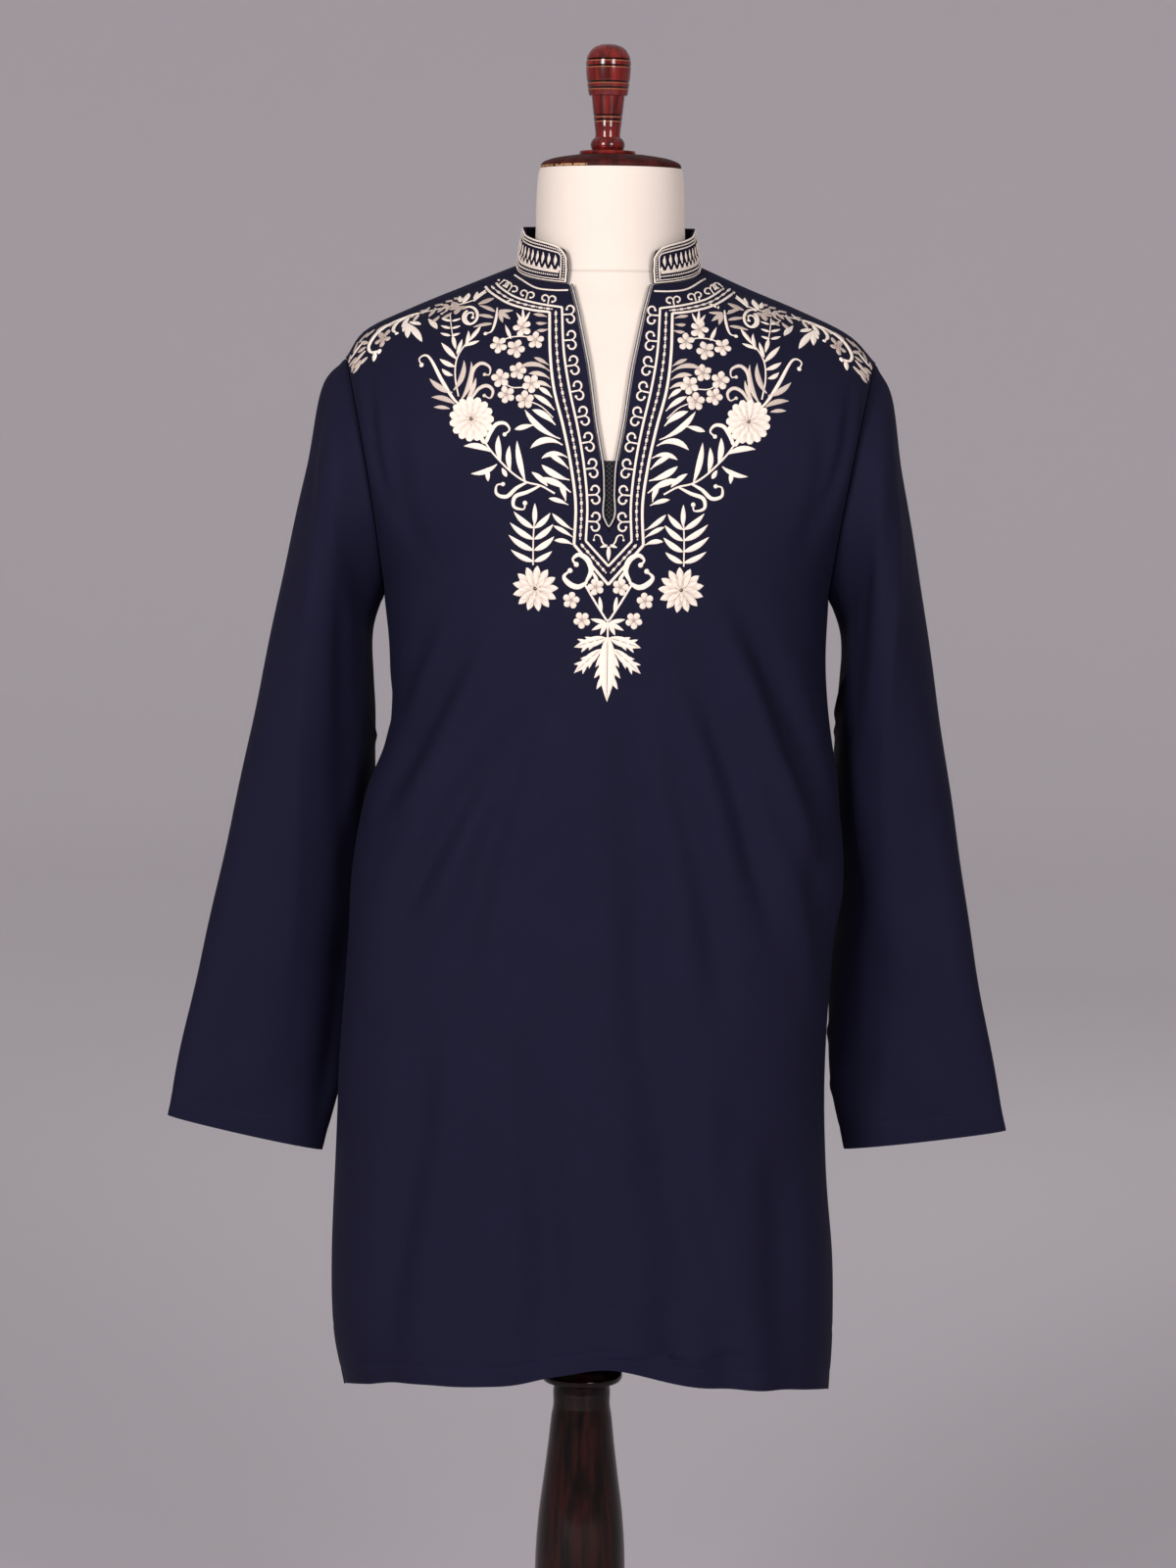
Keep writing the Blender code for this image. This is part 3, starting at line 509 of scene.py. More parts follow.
# tip, armpit, front and back point of each armhole, in millimetres
armholes = {
    "left": ((-205.8, -4, 1358), (-173, -2, 1162), (-183, -73, 1260), (-186, 69, 1260)),
    "right": ((236, -4, 1358), (200.5, -2, 1162), (212, -73, 1260), (213, 69, 1260)),
}
cut = {
    "wall": 0.0016, "seamGap": 0.0005, "armholeGap": 0.0008, "shoulderRidge": 0.0035, "armholePoint": 0.40,
    "backSquare": 2.05, "slitMiddle": 0.0147, "slitEnd": 6.80, "ventSpread": 0.0008,
    "slitHeights": (1.2130, 1.2330, 1.2770, 1.3040, 1.3350, 1.3550, 1.3970, 1.4195),
    "slitHalves": (0.0046, 0.0054, 0.0072, 0.0126, 0.0168, 0.0198, 0.0285, 0.0345),
    "hemWaves": ((0.018, 0.052, 0.0165), (-0.140, 0.030, 0.0030)),
}


def armholePoints(side):
    return np.array(armholes[side]) / 1000.0


def loopPoint(tip, armpit, middle, angle, point):
    centre = (tip + armpit) / 2.0
    depth = np.sin(angle) * (1.0 - point * np.cos(angle) ** 2)
    return centre + (tip - centre) * np.cos(angle)[..., None] + (middle - centre) * depth[..., None]


def bodyRead(name, level):
    return smoothRead(bodyColumn[name], level)


def edgePoint(side, half, level):  # shoulder seam, armhole or side seam
    tip, armpit, front, back = armholePoints(side)
    columns = [bodyColumn[name] for name in (side + "X", "edgeY", "edgeZ")]
    above, below = np.minimum(level, tipLevel), np.maximum(level - armpitLevel, 0.0)
    upper = np.stack([smoothRead(column[:tipLevel + 1], above) for column in columns], axis=-1)
    lower = np.stack([smoothRead(column[armpitLevel:], below) for column in columns], axis=-1)
    angle = np.radians(np.clip(180.0 * (level - tipLevel) / (armpitLevel - tipLevel), 0.0, 180.0))
    hole = loopPoint(tip, armpit, front if half == "front" else back, angle, cut["armholePoint"])
    level = level[..., None]
    return np.where(level <= tipLevel, upper, np.where(level < armpitLevel, hole, lower))


def roundShare(angle, end, square):
    def reach(value):
        far = (np.abs(np.sin(value)) ** square + np.abs(np.cos(value)) ** square) ** (-1.0 / square)
        return far * np.sin(value), 1.0 - far * np.cos(value)
    across, back = reach(angle)
    acrossEnd, backEnd = reach(end)
    return across / acrossEnd, back / backEnd


def risePower(level):
    return 1.3 - 0.3 * np.minimum(level / tipLevel, 1.0)


def plainPoint(side, half, level, share):  # the body without folds, share 0 in the middle and 1 at the end
    level, share = np.broadcast_arrays(np.asarray(level, float), np.asarray(share, float))
    end = edgePoint(side, half, level)
    turn = np.radians(bodyRead("turn", level))
    if half == "back":
        turn = np.where(level >= armholeTopLevel, turn, math.pi - turn)
    square = bodyRead("square", level) if half == "front" else cut["backSquare"]
    across, back = roundShare(share * turn, turn, square)
    middle = np.stack([bodyRead(name, level) for name in ("middleX", half + "Y", half + "Z")], axis=-1)
    x = middle[..., 0] + (end[..., 0] - middle[..., 0]) * across
    y = middle[..., 1] + (end[..., 1] - middle[..., 1]) * back
    z = middle[..., 2] + (end[..., 2] - middle[..., 2]) * np.maximum(back, 0.0) ** risePower(level)
    if half == "back":
        fade = np.clip((armholeTopLevel - level) / 1.5, 0.0, 1.0)
        z = z + cut["shoulderRidge"] * fade * np.sin(math.pi * share ** 5)
    else:
        nearHem = np.maximum(0.0, (level - skirtLowLevel) / (hemLevel - skirtLowLevel)) ** 2
        z = z + nearHem * sum(rise * np.exp(-((x - at) / width) ** 2) for at, width, rise in cut["hemWaves"])
    return np.stack([x, y, z], axis=-1)


def shareAt(side, levels, target):  # where a row of the front reaches x = target, found by halving
    low, high = np.zeros(len(levels)), np.full(len(levels), 0.9)
    for _ in range(36):
        middle = (low + high) / 2.0
        inside = (plainPoint(side, "front", levels, middle)[:, 0] - target) * sideSign(side) < 0.0
        low, high = np.where(inside, middle, low), np.where(inside, high, middle)
    return low


def slitShare(side, level):
    half = np.interp(bodyRead("frontZ", level), cut["slitHeights"], cut["slitHalves"])
    half = half * np.clip((cut["slitEnd"] - level) / 0.10, 0.0, 1.0) ** 0.6
    return shareAt(side, level, cut["slitMiddle"] + sideSign(side) * half)


# folds: a trough down each line, with a ridge on either side

# line from the top down, width and depth in millimetres, then the left and the right ridge as shares
frontFolds = {
    "underarmLeft": (((-122, 1165), (-140, 1122), (-157, 1072), (-166, 1040)), 9, 3, 0.3, 0.5),
    "waistLeft": (((-92, 1150), (-111, 1108), (-140, 1048), (-163, 1002), (-183, 960)), 11, 5, 0.5, 0.9),
    "waistLeftLow": (((-62, 1080), (-75, 1047), (-107, 991), (-136, 938), (-168, 868)), 12, 4.2, 0.7, 0.6),
    "chestLeft": (((-30, 1150), (-39, 1114), (-59, 1036), (-80, 972), (-98, 890),
                   (-122, 800)), 14, 3.8, 0.5, 0.6),
    "middle": (((27, 1150), (31, 1109), (40, 990), (46, 882), (53, 774), (60, 701), (70, 625),
                (78, 540)), 19, 4.6, 0.5, 0.4),
    "chestRight": (((52, 1120), (60, 1088), (77, 1006), (89, 964), (109, 855),
                    (120, 800)), 12, 3.2, 0.4, 0.5),
    "waistRightIn": (((72, 1150), (81, 1123), (100, 1069), (114, 1034), (134, 962), (151, 907),
                      (166, 850)), 11, 4, 0.6, 0.5),
    "waistRight": (((104, 1196), (123, 1159), (149, 1102), (171, 1045), (195, 984),
                    (208, 916)), 11, 7, 1, 0.3),
    "hipRight": (((172, 975), (187, 937), (204, 844), (208, 800)), 10, 3.4, 0.6, 0.3),
    "skirtMiddle": (((-44, 820), (-38, 745), (-29, 608), (-34, 500)), 17, 4.4, 0.5, 0.6),
    "skirtLeft": (((-118, 880), (-127, 849), (-139, 726), (-159, 575), (-164, 500)), 15, 3.6, 0.5, 0.6),
    "skirtRight": (((72, 830), (75, 773), (85, 650), (119, 541), (126, 500)), 15, 3.4, 0.4, 0.6),
    "skirtSide": (((158, 760), (160, 690), (166, 600), (170, 500)), 16, 3, 0.6, 0.4),
    "shoulderLeft": (((-150, 1330), (-158, 1290), (-150, 1230), (-128, 1180)), 9, 1.8, 0.5, 0.4),
    "armLeft": (((-183, 1366), (-182, 1340), (-179, 1300), (-172, 1262), (-158, 1222)), 5, 1.9, 0.9, 0.6),
    "armRight": (((214, 1362), (212, 1340), (208, 1300), (200, 1262), (186, 1222)), 5, 1.9, 0.6, 0.9),
    "shoulderRight": (((180, 1330), (190, 1290), (184, 1235), (166, 1185)), 9, 1.9, 0.4, 0.5),
}
backFolds = {
    "bladeLeft": (((-128, 1340), (-140, 1290), (-138, 1220), (-120, 1150)), 11, 2.2, 0.5, 0.5),
    "bladeRight": (((160, 1335), (170, 1280), (164, 1215), (148, 1160)), 11, 2.2, 0.5, 0.5),
    "waistLeft": (((-96, 1170), (-120, 1120), (-146, 1040), (-172, 960)), 12, 5, 0.5, 0.8),
    "waistLeftIn": (((-52, 1130), (-70, 1060), (-96, 960), (-118, 850)), 13, 4.2, 0.6, 0.6),
    "middle": (((16, 1180), (10, 1060), (4, 900), (4, 760), (2, 640)), 18, 4.2, 0.5, 0.5),
    "yokeMiddle": (((-6, 1390), (-4, 1320), (2, 1250)), 20, 1.6, 0.3, 0.3),
    "waistRightIn": (((70, 1140), (84, 1070), (112, 960), (134, 850)), 12, 4.6, 0.6, 0.6),
    "waistRight": (((118, 1180), (140, 1110), (166, 1030), (190, 940)), 11, 5.6, 0.9, 0.4),
    "skirtLeft": (((-92, 800), (-102, 700), (-112, 600), (-116, 480)), 17, 4.6, 0.5, 0.6),
    "skirtRight": (((62, 780), (64, 690), (70, 600), (78, 480)), 17, 4.8, 0.6, 0.5),
    "skirtFarLeft": (((-160, 760), (-166, 660), (-168, 560), (-170, 480)), 13, 3, 0.5, 0.5),
    "skirtFarRight": (((150, 760), (152, 660), (158, 560), (160, 480)), 13, 3, 0.5, 0.5),
}
foldShape = {
    "lowFade": 0.35, "highFade": 0.40, "openBelow": 0.55, "hemShare": 0.6, "ridge": 0.7, "ridgeAt": 1.7,
    "ridgeWidth": 1.1, "strength": 1.3, "lowerStrength": 0.4, "lowerFrom": 1.15, "lowerOver": 0.10,
}
hemLook = {"heights": (0.0150, 0.0530), "step": 0.0004, "width": 0.0016}


def foldLift(folds, x, z):
    look = foldShape
    lift = np.zeros(x.shape)
    for points, width, depth, left, right in folds.values():
        line = np.array(points[::-1], float) / 1000.0
        low, high = line[0, 1], line[-1, 1]
        across, up = line.T
        centre, above, below = (smoothBetween(up, across, z + step) for step in (0.0, 0.002, -0.002))
        away = (x - centre) / np.sqrt(1.0 + ((above - below) / 0.004) ** 2) / (width / 1000.0)
        share = np.clip((z - low) / (high - low), 0.0, 1.0)
        fade = share / look["lowFade"] if low > look["openBelow"] else look["hemShare"] + share
        fade = np.minimum(1.0, fade) * np.minimum(1.0, (1.0 - share) / look["highFade"])
        fade = easeIn(np.where((z > high) | (z < low - 0.001), 0.0, fade))
        shape = np.exp(-away ** 2)
        for ridge, at in ((left, -look["ridgeAt"]), (right, look["ridgeAt"])):
            shape = shape - look["ridge"] * ridge * np.exp(-((away - at) / look["ridgeWidth"]) ** 2)
        lower = np.clip((look["lowerFrom"] - z) / look["lowerOver"], 0.0, 1.0)
        lift -= (look["strength"] + look["lowerStrength"] * lower) * depth / 1000.0 * fade * shape
    return lift


def softUnrest(x, z, phase):  # the cloth is nowhere quite even
    low = np.clip((1.20 - z) / 0.25, 0.0, 1.0)
    lift = 0.00055 * np.sin(61.0 * x + 17.0 * z + phase) * np.sin(23.0 * z - 12.0 * x + 2.0 * phase)
    lift = lift + 0.0004 * np.sin(97.0 * x - 31.0 * z + 3.0 * phase)
    flare = np.clip((0.80 - z) / 0.30, 0.0, 1.0) ** 1.5
    return lift * low + 0.0016 * flare * np.sin(44.0 * x + phase + 4.0 * (z - 0.5))


def panelPoints(half, levels, leftShares, rightShares):  # a whole panel, left to right, top row first
    left = plainPoint("left", half, levels[:, None], leftShares)[:, ::-1]
    plain = np.concatenate([left, plainPoint("right", half, levels[:, None], rightShares)], axis=1)
    shares = np.concatenate([leftShares[:, ::-1], rightShares], axis=1)
    normal = gridNormals(plain[::-1])[::-1] * (-1.0 if half == "back" else 1.0)
    middle = leftShares.shape[1]
    both = unit(normal[:, middle - 1] + normal[:, middle])
    joined = (leftShares[:, :1] == 0.0) & (rightShares[:, :1] == 0.0)
    for column in (middle - 1, middle):
        normal[:, column] = np.where(joined, both, normal[:, column])
    x, z = plain[..., 0], plain[..., 2]
    folds, phase = (frontFolds, 0.7) if half == "front" else (backFolds, 2.9)
    calm = easeIn(np.clip((1.0 - shares) / 0.07, 0.0, 1.0))
    lift = (foldLift(folds, x, z) + softUnrest(x, z, phase)) * calm
    for height in hemLook["heights"]:  # the turned-up hem and the facing's edge print through
        lift = lift - hemLook["step"] * np.exp(-((z - plain[-1:, :, 2] - height) / hemLook["width"]) ** 2)
    return plain + normal * lift[..., None]


def sideGap(levels):  # half the gap at the side seam, wider down the open vent
    gap = cut["seamGap"] / 2.0 + cut["ventSpread"] * np.maximum(0.0, levels - slitLevel)
    return np.where(levels >= armpitLevel, gap, 0.0)


clothFine = {"shoulder": 22, "hole": 46, "below": 150, "columns": 56, "backColumns": 54}


def panelLevels():
    return np.concatenate([
        np.linspace(0.0, tipLevel, clothFine["shoulder"], endpoint=False),
        np.linspace(tipLevel, armpitLevel, clothFine["hole"], endpoint=False),
        np.linspace(armpitLevel, hemLevel, clothFine["below"] + 1)])


def buildFront():
    levels = panelLevels()
    half = clothFine["columns"] + 1
    columns = np.linspace(0.0, 1.0, half)[None, :]
    shares = []
    for side in ("left", "right"):
        first = np.where(levels < cut["slitEnd"], slitShare(side, levels), 0.0)[:, None]
        shares.append(first + (1.0 - first) * columns)
    points = panelPoints("front", levels, *shares)
    under = np.where(levels <= tipLevel, cut["seamGap"], 0.0)
    for column in (0, -1):
        points[:, column, 1] -= sideGap(levels) + under
        points[:, column, 2] -= under / 4.0
    metres = gridMetres(points[::-1])
    halves = [gridPiece("front", points[::-1, :half], metres[:, :half]),
              gridPiece("frontRight", points[::-1, half:], metres[:, half:])]
    front = joinPieces(halves, "kurtaFront")
    editMesh(front, mergeTwins)
    tree = treeOf(front)
    thicken(front, cut["wall"])
    finishPiece(front, navyCloth, ["front"])
    return front, tree, np.delete(points, half - 1, axis=1)


def buildBack():
    levels = panelLevels()
    columns = np.repeat(np.linspace(0.0, 1.0, clothFine["backColumns"] + 1)[None, :], len(levels), axis=0)
    points = panelPoints("back", levels, columns, columns)
    for column in (0, -1):
        points[:, column, 1] += sideGap(levels)
    points = np.delete(points, clothFine["backColumns"], axis=1)
    back = gridPiece("kurtaBack", points[::-1, ::-1])
    tree = treeOf(back)
    thicken(back, cut["wall"])
    finishPiece(back, navyCloth, ["back"])
    return back, tree, points


kurtaFront, frontTree, frontPoints = buildFront()
print("front panel sewn", len(kurtaFront.data.polygons))
kurtaBack, backTree, backPoints = buildBack()
print("back panel sewn", len(kurtaBack.data.polygons))


# sleeves

# share of the way down, then the outer, inner, front and back point of each ring in millimetres
sleeveRings = {
    "left": (
        (0.07, (-223.5, 0, 1337), (-183, 10, 1133), (-206, -78, 1247), (-206, 80, 1244)),
        (0.17, (-237.8, 4, 1265), (-183, 22, 1090), (-216.5, -73, 1195), (-214, 89, 1185)),
        (0.29, (-256, 9, 1184), (-182, 34, 1042), (-225.5, -62, 1125), (-222, 93, 1115)),
        (0.45, (-280, 14, 1070), (-184, 50, 970), (-237, -44, 1030), (-235, 92, 1020)),
        (0.60, (-303.5, 19, 964), (-189, 58, 895), (-249, -20, 935), (-248, 88, 928)),
        (0.77, (-330.5, 24, 845), (-201, 57, 805), (-267, 0, 828), (-266, 77, 824)),
        (0.93, (-354, 28, 740), (-216, 46, 715), (-286, 14, 729), (-285, 59, 727)),
        (1.00, (-359.5, 28, 708), (-226.5, 40, 676.5), (-293, 19, 693), (-293, 52, 691)),
    ),
    "right": (
        (0.07, (249, 0, 1333), (212, 10, 1133), (233, -78, 1247), (233, 80, 1244)),
        (0.17, (260, 4, 1265), (213, 22, 1090), (240, -73, 1195), (238, 89, 1185)),
        (0.29, (276.5, 9, 1184), (211, 38, 1042), (243, -62, 1125), (243, 93, 1115)),
        (0.45, (295.8, 14, 1070), (210.5, 60, 970), (249, -40, 1030), (250, 96, 1020)),
        (0.60, (314, 19, 964), (213, 70, 895), (260, -14, 935), (262, 92, 928)),
        (0.77, (334, 24, 845), (210, 62, 815), (274, 2, 832), (274, 80, 829)),
        (0.93, (356, 28, 740), (215, 46, 723), (285, 14, 733), (286, 59, 731)),
        (1.00, (363.7, 28, 702), (224.5, 40, 682), (294, 19, 693), (294, 52, 691)),
    ),
}

# the pressed creases down each sleeve, and its softer folds: places along the sleeve, turns in degrees
# (0 outside, 90 in front, 180 inside), height in millimetres, below 0 for a trough, and width in degrees
sleeveCreases = {
    "left": (
        ((0.03, 0.20, 0.45, 0.70, 0.92), (64, 74, 84, 98, 106), 3.4, 13, "pressed"),
        ((0.10, 0.30, 0.50, 0.66), (112, 122, 132, 138), -2.6, 12, "soft"),
        ((0.02, 0.12, 0.24), (30, 44, 56), -1.8, 12, "soft"),
        ((0.55, 0.75, 0.98), (60, 68, 74), -2, 15, "soft"),
        ((0.60, 0.80, 0.99), (142, 146, 150), -1.8, 10, "soft"),
        ((0.03, 0.30, 0.60, 0.95), (286, 276, 268, 262), 3, 13, "pressed"),
        ((0.06, 0.22, 0.40), (235, 228, 220), -2.6, 13, "soft"),
        ((0.45, 0.65, 0.90), (310, 302, 296), -2.2, 14, "soft"),
        ((0.30, 0.50, 0.75), (232, 236, 240), -1.8, 12, "soft"),
    ),
    "right": (
        ((0.03, 0.18, 0.42, 0.62, 0.84), (50, 60, 90, 97, 104), 3.2, 13, "pressed"),
        ((0.08, 0.24, 0.42), (118, 128, 136), -3, 12, "soft"),
        ((0.18, 0.21, 0.27), (150, 164, 176), 2.4, 9, "soft"),
        ((0.64, 0.84, 0.97), (106, 120, 134), -2.6, 13, "soft"),
        ((0.50, 0.72, 0.95), (64, 66, 70), -1.8, 14, "soft"),
        ((0.03, 0.30, 0.60, 0.95), (288, 278, 268, 264), 3, 13, "pressed"),
        ((0.06, 0.20, 0.38), (238, 226, 218), -2.8, 13, "soft"),
        ((0.46, 0.66, 0.92), (306, 300, 298), -2.2, 14, "soft"),
        ((0.34, 0.55, 0.80), (230, 236, 242), -1.8, 12, "soft"),
    ),
}
# small puckers of the underarm seam: place along, height in millimetres
sleevePuckers = {
    "left": ((0.30, 1.6), (0.42, 1.2), (0.55, 1.8), (0.63, 1.1), (0.74, 1.7), (0.82, 1.9), (0.90, 1.1)),
    "right": ((0.28, 1.4), (0.38, 1.6), (0.52, 1.1), (0.60, 1.5), (0.71, 1.2), (0.83, 1.7), (0.91, 1.3)),
}
sleeveFine = {
    "rows": 132, "around": 100, "cuffStitch": 0.020, "stitchWidth": 0.0014, "stitchStep": 0.0004,
    "creases": 1.35, "puckerWidth": 15.0, "puckerHeight": 0.0085, "puckerSlant": 0.0011,
}


def sleevePlain(side, along, angle):
    rings = sleeveRings[side]
    keys = [0.0] + [ring[0] for ring in rings]
    lines = [np.array([start] + [np.array(ring[place]) / 1000.0 for ring in rings])
             for place, start in enumerate(armholePoints(side), 1)]
    outer, inner, front, back = (
        np.stack([smoothBetween(keys, column, along) for column in line.T], axis=-1) for line in lines)
    middle = np.where((angle <= math.pi)[..., None], front, back)
    point = cut["armholePoint"] * np.maximum(0.0, 1.0 - along / 0.5)
    return loopPoint(outer, inner, middle, np.minimum(angle, 2.0 * math.pi - angle), point)


def creaseLift(side, along, degrees):
    lift = np.zeros(degrees.shape)
    for places, turns, height, width, kind in sleeveCreases[side]:
        centre = smoothBetween(places, turns, along)
        away = np.abs((degrees - centre + 180.0) % 360.0 - 180.0) / width
        share = np.clip((along - places[0]) / (places[-1] - places[0]), 0.0, 1.0)
        fade = easeIn(np.clip(np.minimum(share / 0.25, (1.0 - share) / 0.30), 0.0, 1.0))
        soft = np.sqrt(away ** 2 + 0.04) - 0.2 if kind == "pressed" else away ** 2
        lift += sleeveFine["creases"] * height / 1000.0 * fade * np.exp(-soft)
    for place, height in sleevePuckers[side]:
        away = (degrees - 180.0) / sleeveFine["puckerWidth"]
        slant = (along - place - sleeveFine["puckerSlant"] * (degrees - 180.0)) / sleeveFine["puckerHeight"]
        lift += height / 1000.0 * np.exp(-away ** 2 - slant ** 2)
    return lift


def buildSleeve(side):
    rows, around = sleeveFine["rows"], sleeveFine["around"]
    along = np.linspace(0.0, 1.0, rows + 1)[:, None] ** 1.05 * np.ones((1, around + 1))
    angle = np.linspace(0.0, 2.0 * math.pi, around + 1)[None, :] * np.ones((rows + 1, 1))
    points = sleevePlain(side, along, angle)
    points[0] += unit(points[1] - points[0]) * cut["armholeGap"]
    wrapped = np.concatenate([points[:, -2:-1], points, points[:, 1:2]], axis=1)
    normal = -sideSign(side) * gridNormals(wrapped[::-1])[::-1][:, 1:-1]
    lift = creaseLift(side, along, np.degrees(angle))
    lift += 0.0006 * np.sin(18.0 * along + 3.0 * angle) * np.sin(21.0 * along + angle)
    lift *= np.clip(along / 0.035, 0.0, 1.0) * np.clip((1.0 - along) / 0.02, 0.35, 1.0)
    steps = np.linalg.norm(np.diff(points[::-1], axis=0), axis=2)
    up = np.cumsum(np.concatenate([np.zeros((1, around + 1)), steps]), axis=0)[::-1]
    away = (up - sleeveFine["cuffStitch"]) / sleeveFine["stitchWidth"]
    lift -= sleeveFine["stitchStep"] * np.exp(-away ** 2)
    lift += 0.0006 * np.exp(-((along - 0.010) / 0.006) ** 2)
    lift[:, -1] = lift[:, 0]
    points = points + normal * lift[..., None]
    points[:, -1] = points[:, 0]
    piece = gridPiece("sleeve" + side.capitalize(), points[::-1] if side == "left" else points[::-1, ::-1])
    editMesh(piece, mergeTwins)
    tree = treeOf(piece)
    thicken(piece, cut["wall"])
    finishPiece(piece, navyCloth, ["sleeve_" + side])
    return piece, tree, points


sleeveLeft, sleeveLeftTree, sleeveLeftPoints = buildSleeve("left")
sleeveRight, sleeveRightTree, sleeveRightPoints = buildSleeve("right")
print("sleeves set in")


# collar

collarCut = {
    "wall": 0.0020, "height": 0.0315, "columns": 240, "rows": 14, "leansIn": 0.0055, "edge": 0.0005,
    "cornerDrop": 0.0045, "cornerTurn": 4.0, "cornerShare": 12.0,
}


def necklinePoint(turn):  # degrees, 0 at the middle of the front, left below 0
    turn = np.asarray(turn, float)
    seam = bodyRead("turn", np.array(0.0))
    size = np.abs(turn)
    result = np.zeros(turn.shape + (3,))
    for side, chosen in (("right", turn >= 0.0), ("left", turn < 0.0)):
        ahead, behind = chosen & (size <= seam), chosen & (size > seam)
        result[ahead] = plainPoint(side, "front", 0.0, size[ahead] / seam)
        result[behind] = plainPoint(side, "back", 0.0, (180.0 - size[behind]) / (180.0 - seam))
    return result


def collarStart():
    start = 0.0
    while abs(necklinePoint(np.array([start]))[0, 0] - cut["slitMiddle"]) < cut["slitHalves"][-1]:
        start += 0.5
    return start


firstTurn = collarStart()
ringCentre = necklinePoint(np.array([90.0, -90.0])).mean(axis=0)


def collarPoint(share, height):  # share runs from the right front end round the back to the left one
    share, height = np.broadcast_arrays(np.asarray(share, float), np.asarray(height, float))
    turn = firstTurn + (360.0 - 2.0 * firstTurn) * share
    turn = np.where(turn <= 180.0, turn, turn - 360.0)
    near = np.maximum(0.0, 1.0 - np.minimum(share, 1.0 - share) * collarCut["cornerShare"])
    point = necklinePoint(turn + np.sign(turn) * collarCut["cornerTurn"] * near ** 2 * height ** 3)
    away = unit((point - ringCentre) * (1.0, 1.0, 0.0))
    point = point - away * (collarCut["leansIn"] * height)[..., None]
    drop = collarCut["cornerDrop"] * height ** 2 * near ** 2
    point[..., 2] += cut["seamGap"] + collarCut["height"] * height - drop
    return point


def buildCollar():
    share = np.linspace(0.0, 1.0, collarCut["columns"] + 1)[None, :]
    height = np.linspace(0.0, 1.0, collarCut["rows"] + 1)[:, None]
    piece = gridPiece("standCollar", collarPoint(share, height))
    thicken(piece, collarCut["wall"])
    applyModifier(piece, "BEVEL", width=collarCut["edge"], segments=2, limit_method="ANGLE",
                  angle_limit=math.radians(50))
    return finishPiece(piece, navyCloth, ["collar"])


standCollar = buildCollar()
print("collar sewn on")


# the slit's edge and the net behind it

slitEdge = {
    "inset": 0.0020, "forward": 0.0002, "lowest": 6.66, "point": 0.0050,
    "binding": 0.00125, "bindingSides": 10,
    "strand": 0.00044, "reach": 0.00040, "pitch": 0.0026, "sides": 5, "perTurn": 6, "lift": 0.0010,
}
netCut = {"top": 5.72, "bottom": 7.3, "half": 0.017, "rows": 41, "columns": 19, "wall": 0.0010}


def tubeAlong(name, path, radius, sides, offset=(0.0, 0.0)):
    run = unit(np.gradient(path, axis=0))
    side = unit(np.cross(run, np.array([0.0, 1.0, 0.0])))
    out = np.cross(side, run)
    centre = path + side * np.reshape(offset[0], (-1, 1)) + out * np.reshape(offset[1], (-1, 1))
    ring = np.linspace(0.0, 2.0 * math.pi, sides + 1)[None, :, None]
    wall = centre[:, None] + radius * (side[:, None] * np.cos(ring) + out[:, None] * np.sin(ring))
    wall[:, -1] = wall[:, 0]
    tube = gridPiece(name, wall)
    editMesh(tube, mergeTwins, closeHoles, faceOutward)
    return tube


def slitLine():  # down the left edge, round the slit's foot and up the right edge
    levels = np.concatenate([[0.04], np.linspace(0.4, slitEdge["lowest"], 16)])
    edges = []
    for side in ("left", "right"):
        edge = plainPoint(side, "front", levels, slitShare(side, levels))
        edges.append(edge + (-sideSign(side) * slitEdge["inset"], slitEdge["forward"], 0.0))
    bottom = (edges[0][-1] + edges[1][-1]) / 2.0 - (0.0, 0.0, slitEdge["point"])
    return np.concatenate([edges[0], bottom[None], edges[1][::-1]])


def buildPiping():
    line = slitLine()
    binding = tubeAlong("slitBinding", evenPath(line, 0.003), slitEdge["binding"], slitEdge["bindingSides"])
    finishPiece(binding, navyCloth, ["slit_piping"], angle=80.0)
    path = evenPath(line, slitEdge["pitch"] / slitEdge["perTurn"])
    path[:, 1] -= slitEdge["lift"]
    strands = []
    for start in (0.0, math.pi):
        turn = start + np.arange(len(path)) * 2.0 * math.pi / slitEdge["perTurn"]
        offset = (slitEdge["reach"] * np.cos(turn), slitEdge["reach"] * np.sin(turn))
        strands.append(tubeAlong("strand", path, slitEdge["strand"], slitEdge["sides"], offset))
    finishPiece(joinPieces(strands, "slitTwist"), silverTwist, ["slit_piping"], angle=80.0)


def buildPlacket():
    levels = np.linspace(netCut["top"], netCut["bottom"], netCut["rows"])
    columns = []
    for offset in np.linspace(-netCut["half"], netCut["half"], netCut["columns"]):
        side = "right" if offset >= 0.0 else "left"
        columns.append(plainPoint(side, "front", levels, shareAt(side, levels, cut["slitMiddle"] + offset)))
    points = np.stack(columns, axis=1)
    points[..., 1] += cut["wall"] + cut["seamGap"]
    piece = gridPiece("netPlacket", points[::-1])
    thicken(piece, netCut["wall"])
    return finishPiece(piece, darkNet, ["inner_placket"])


buildPiping()
netPlacket = buildPlacket()
print("slit bound")


# the dress form

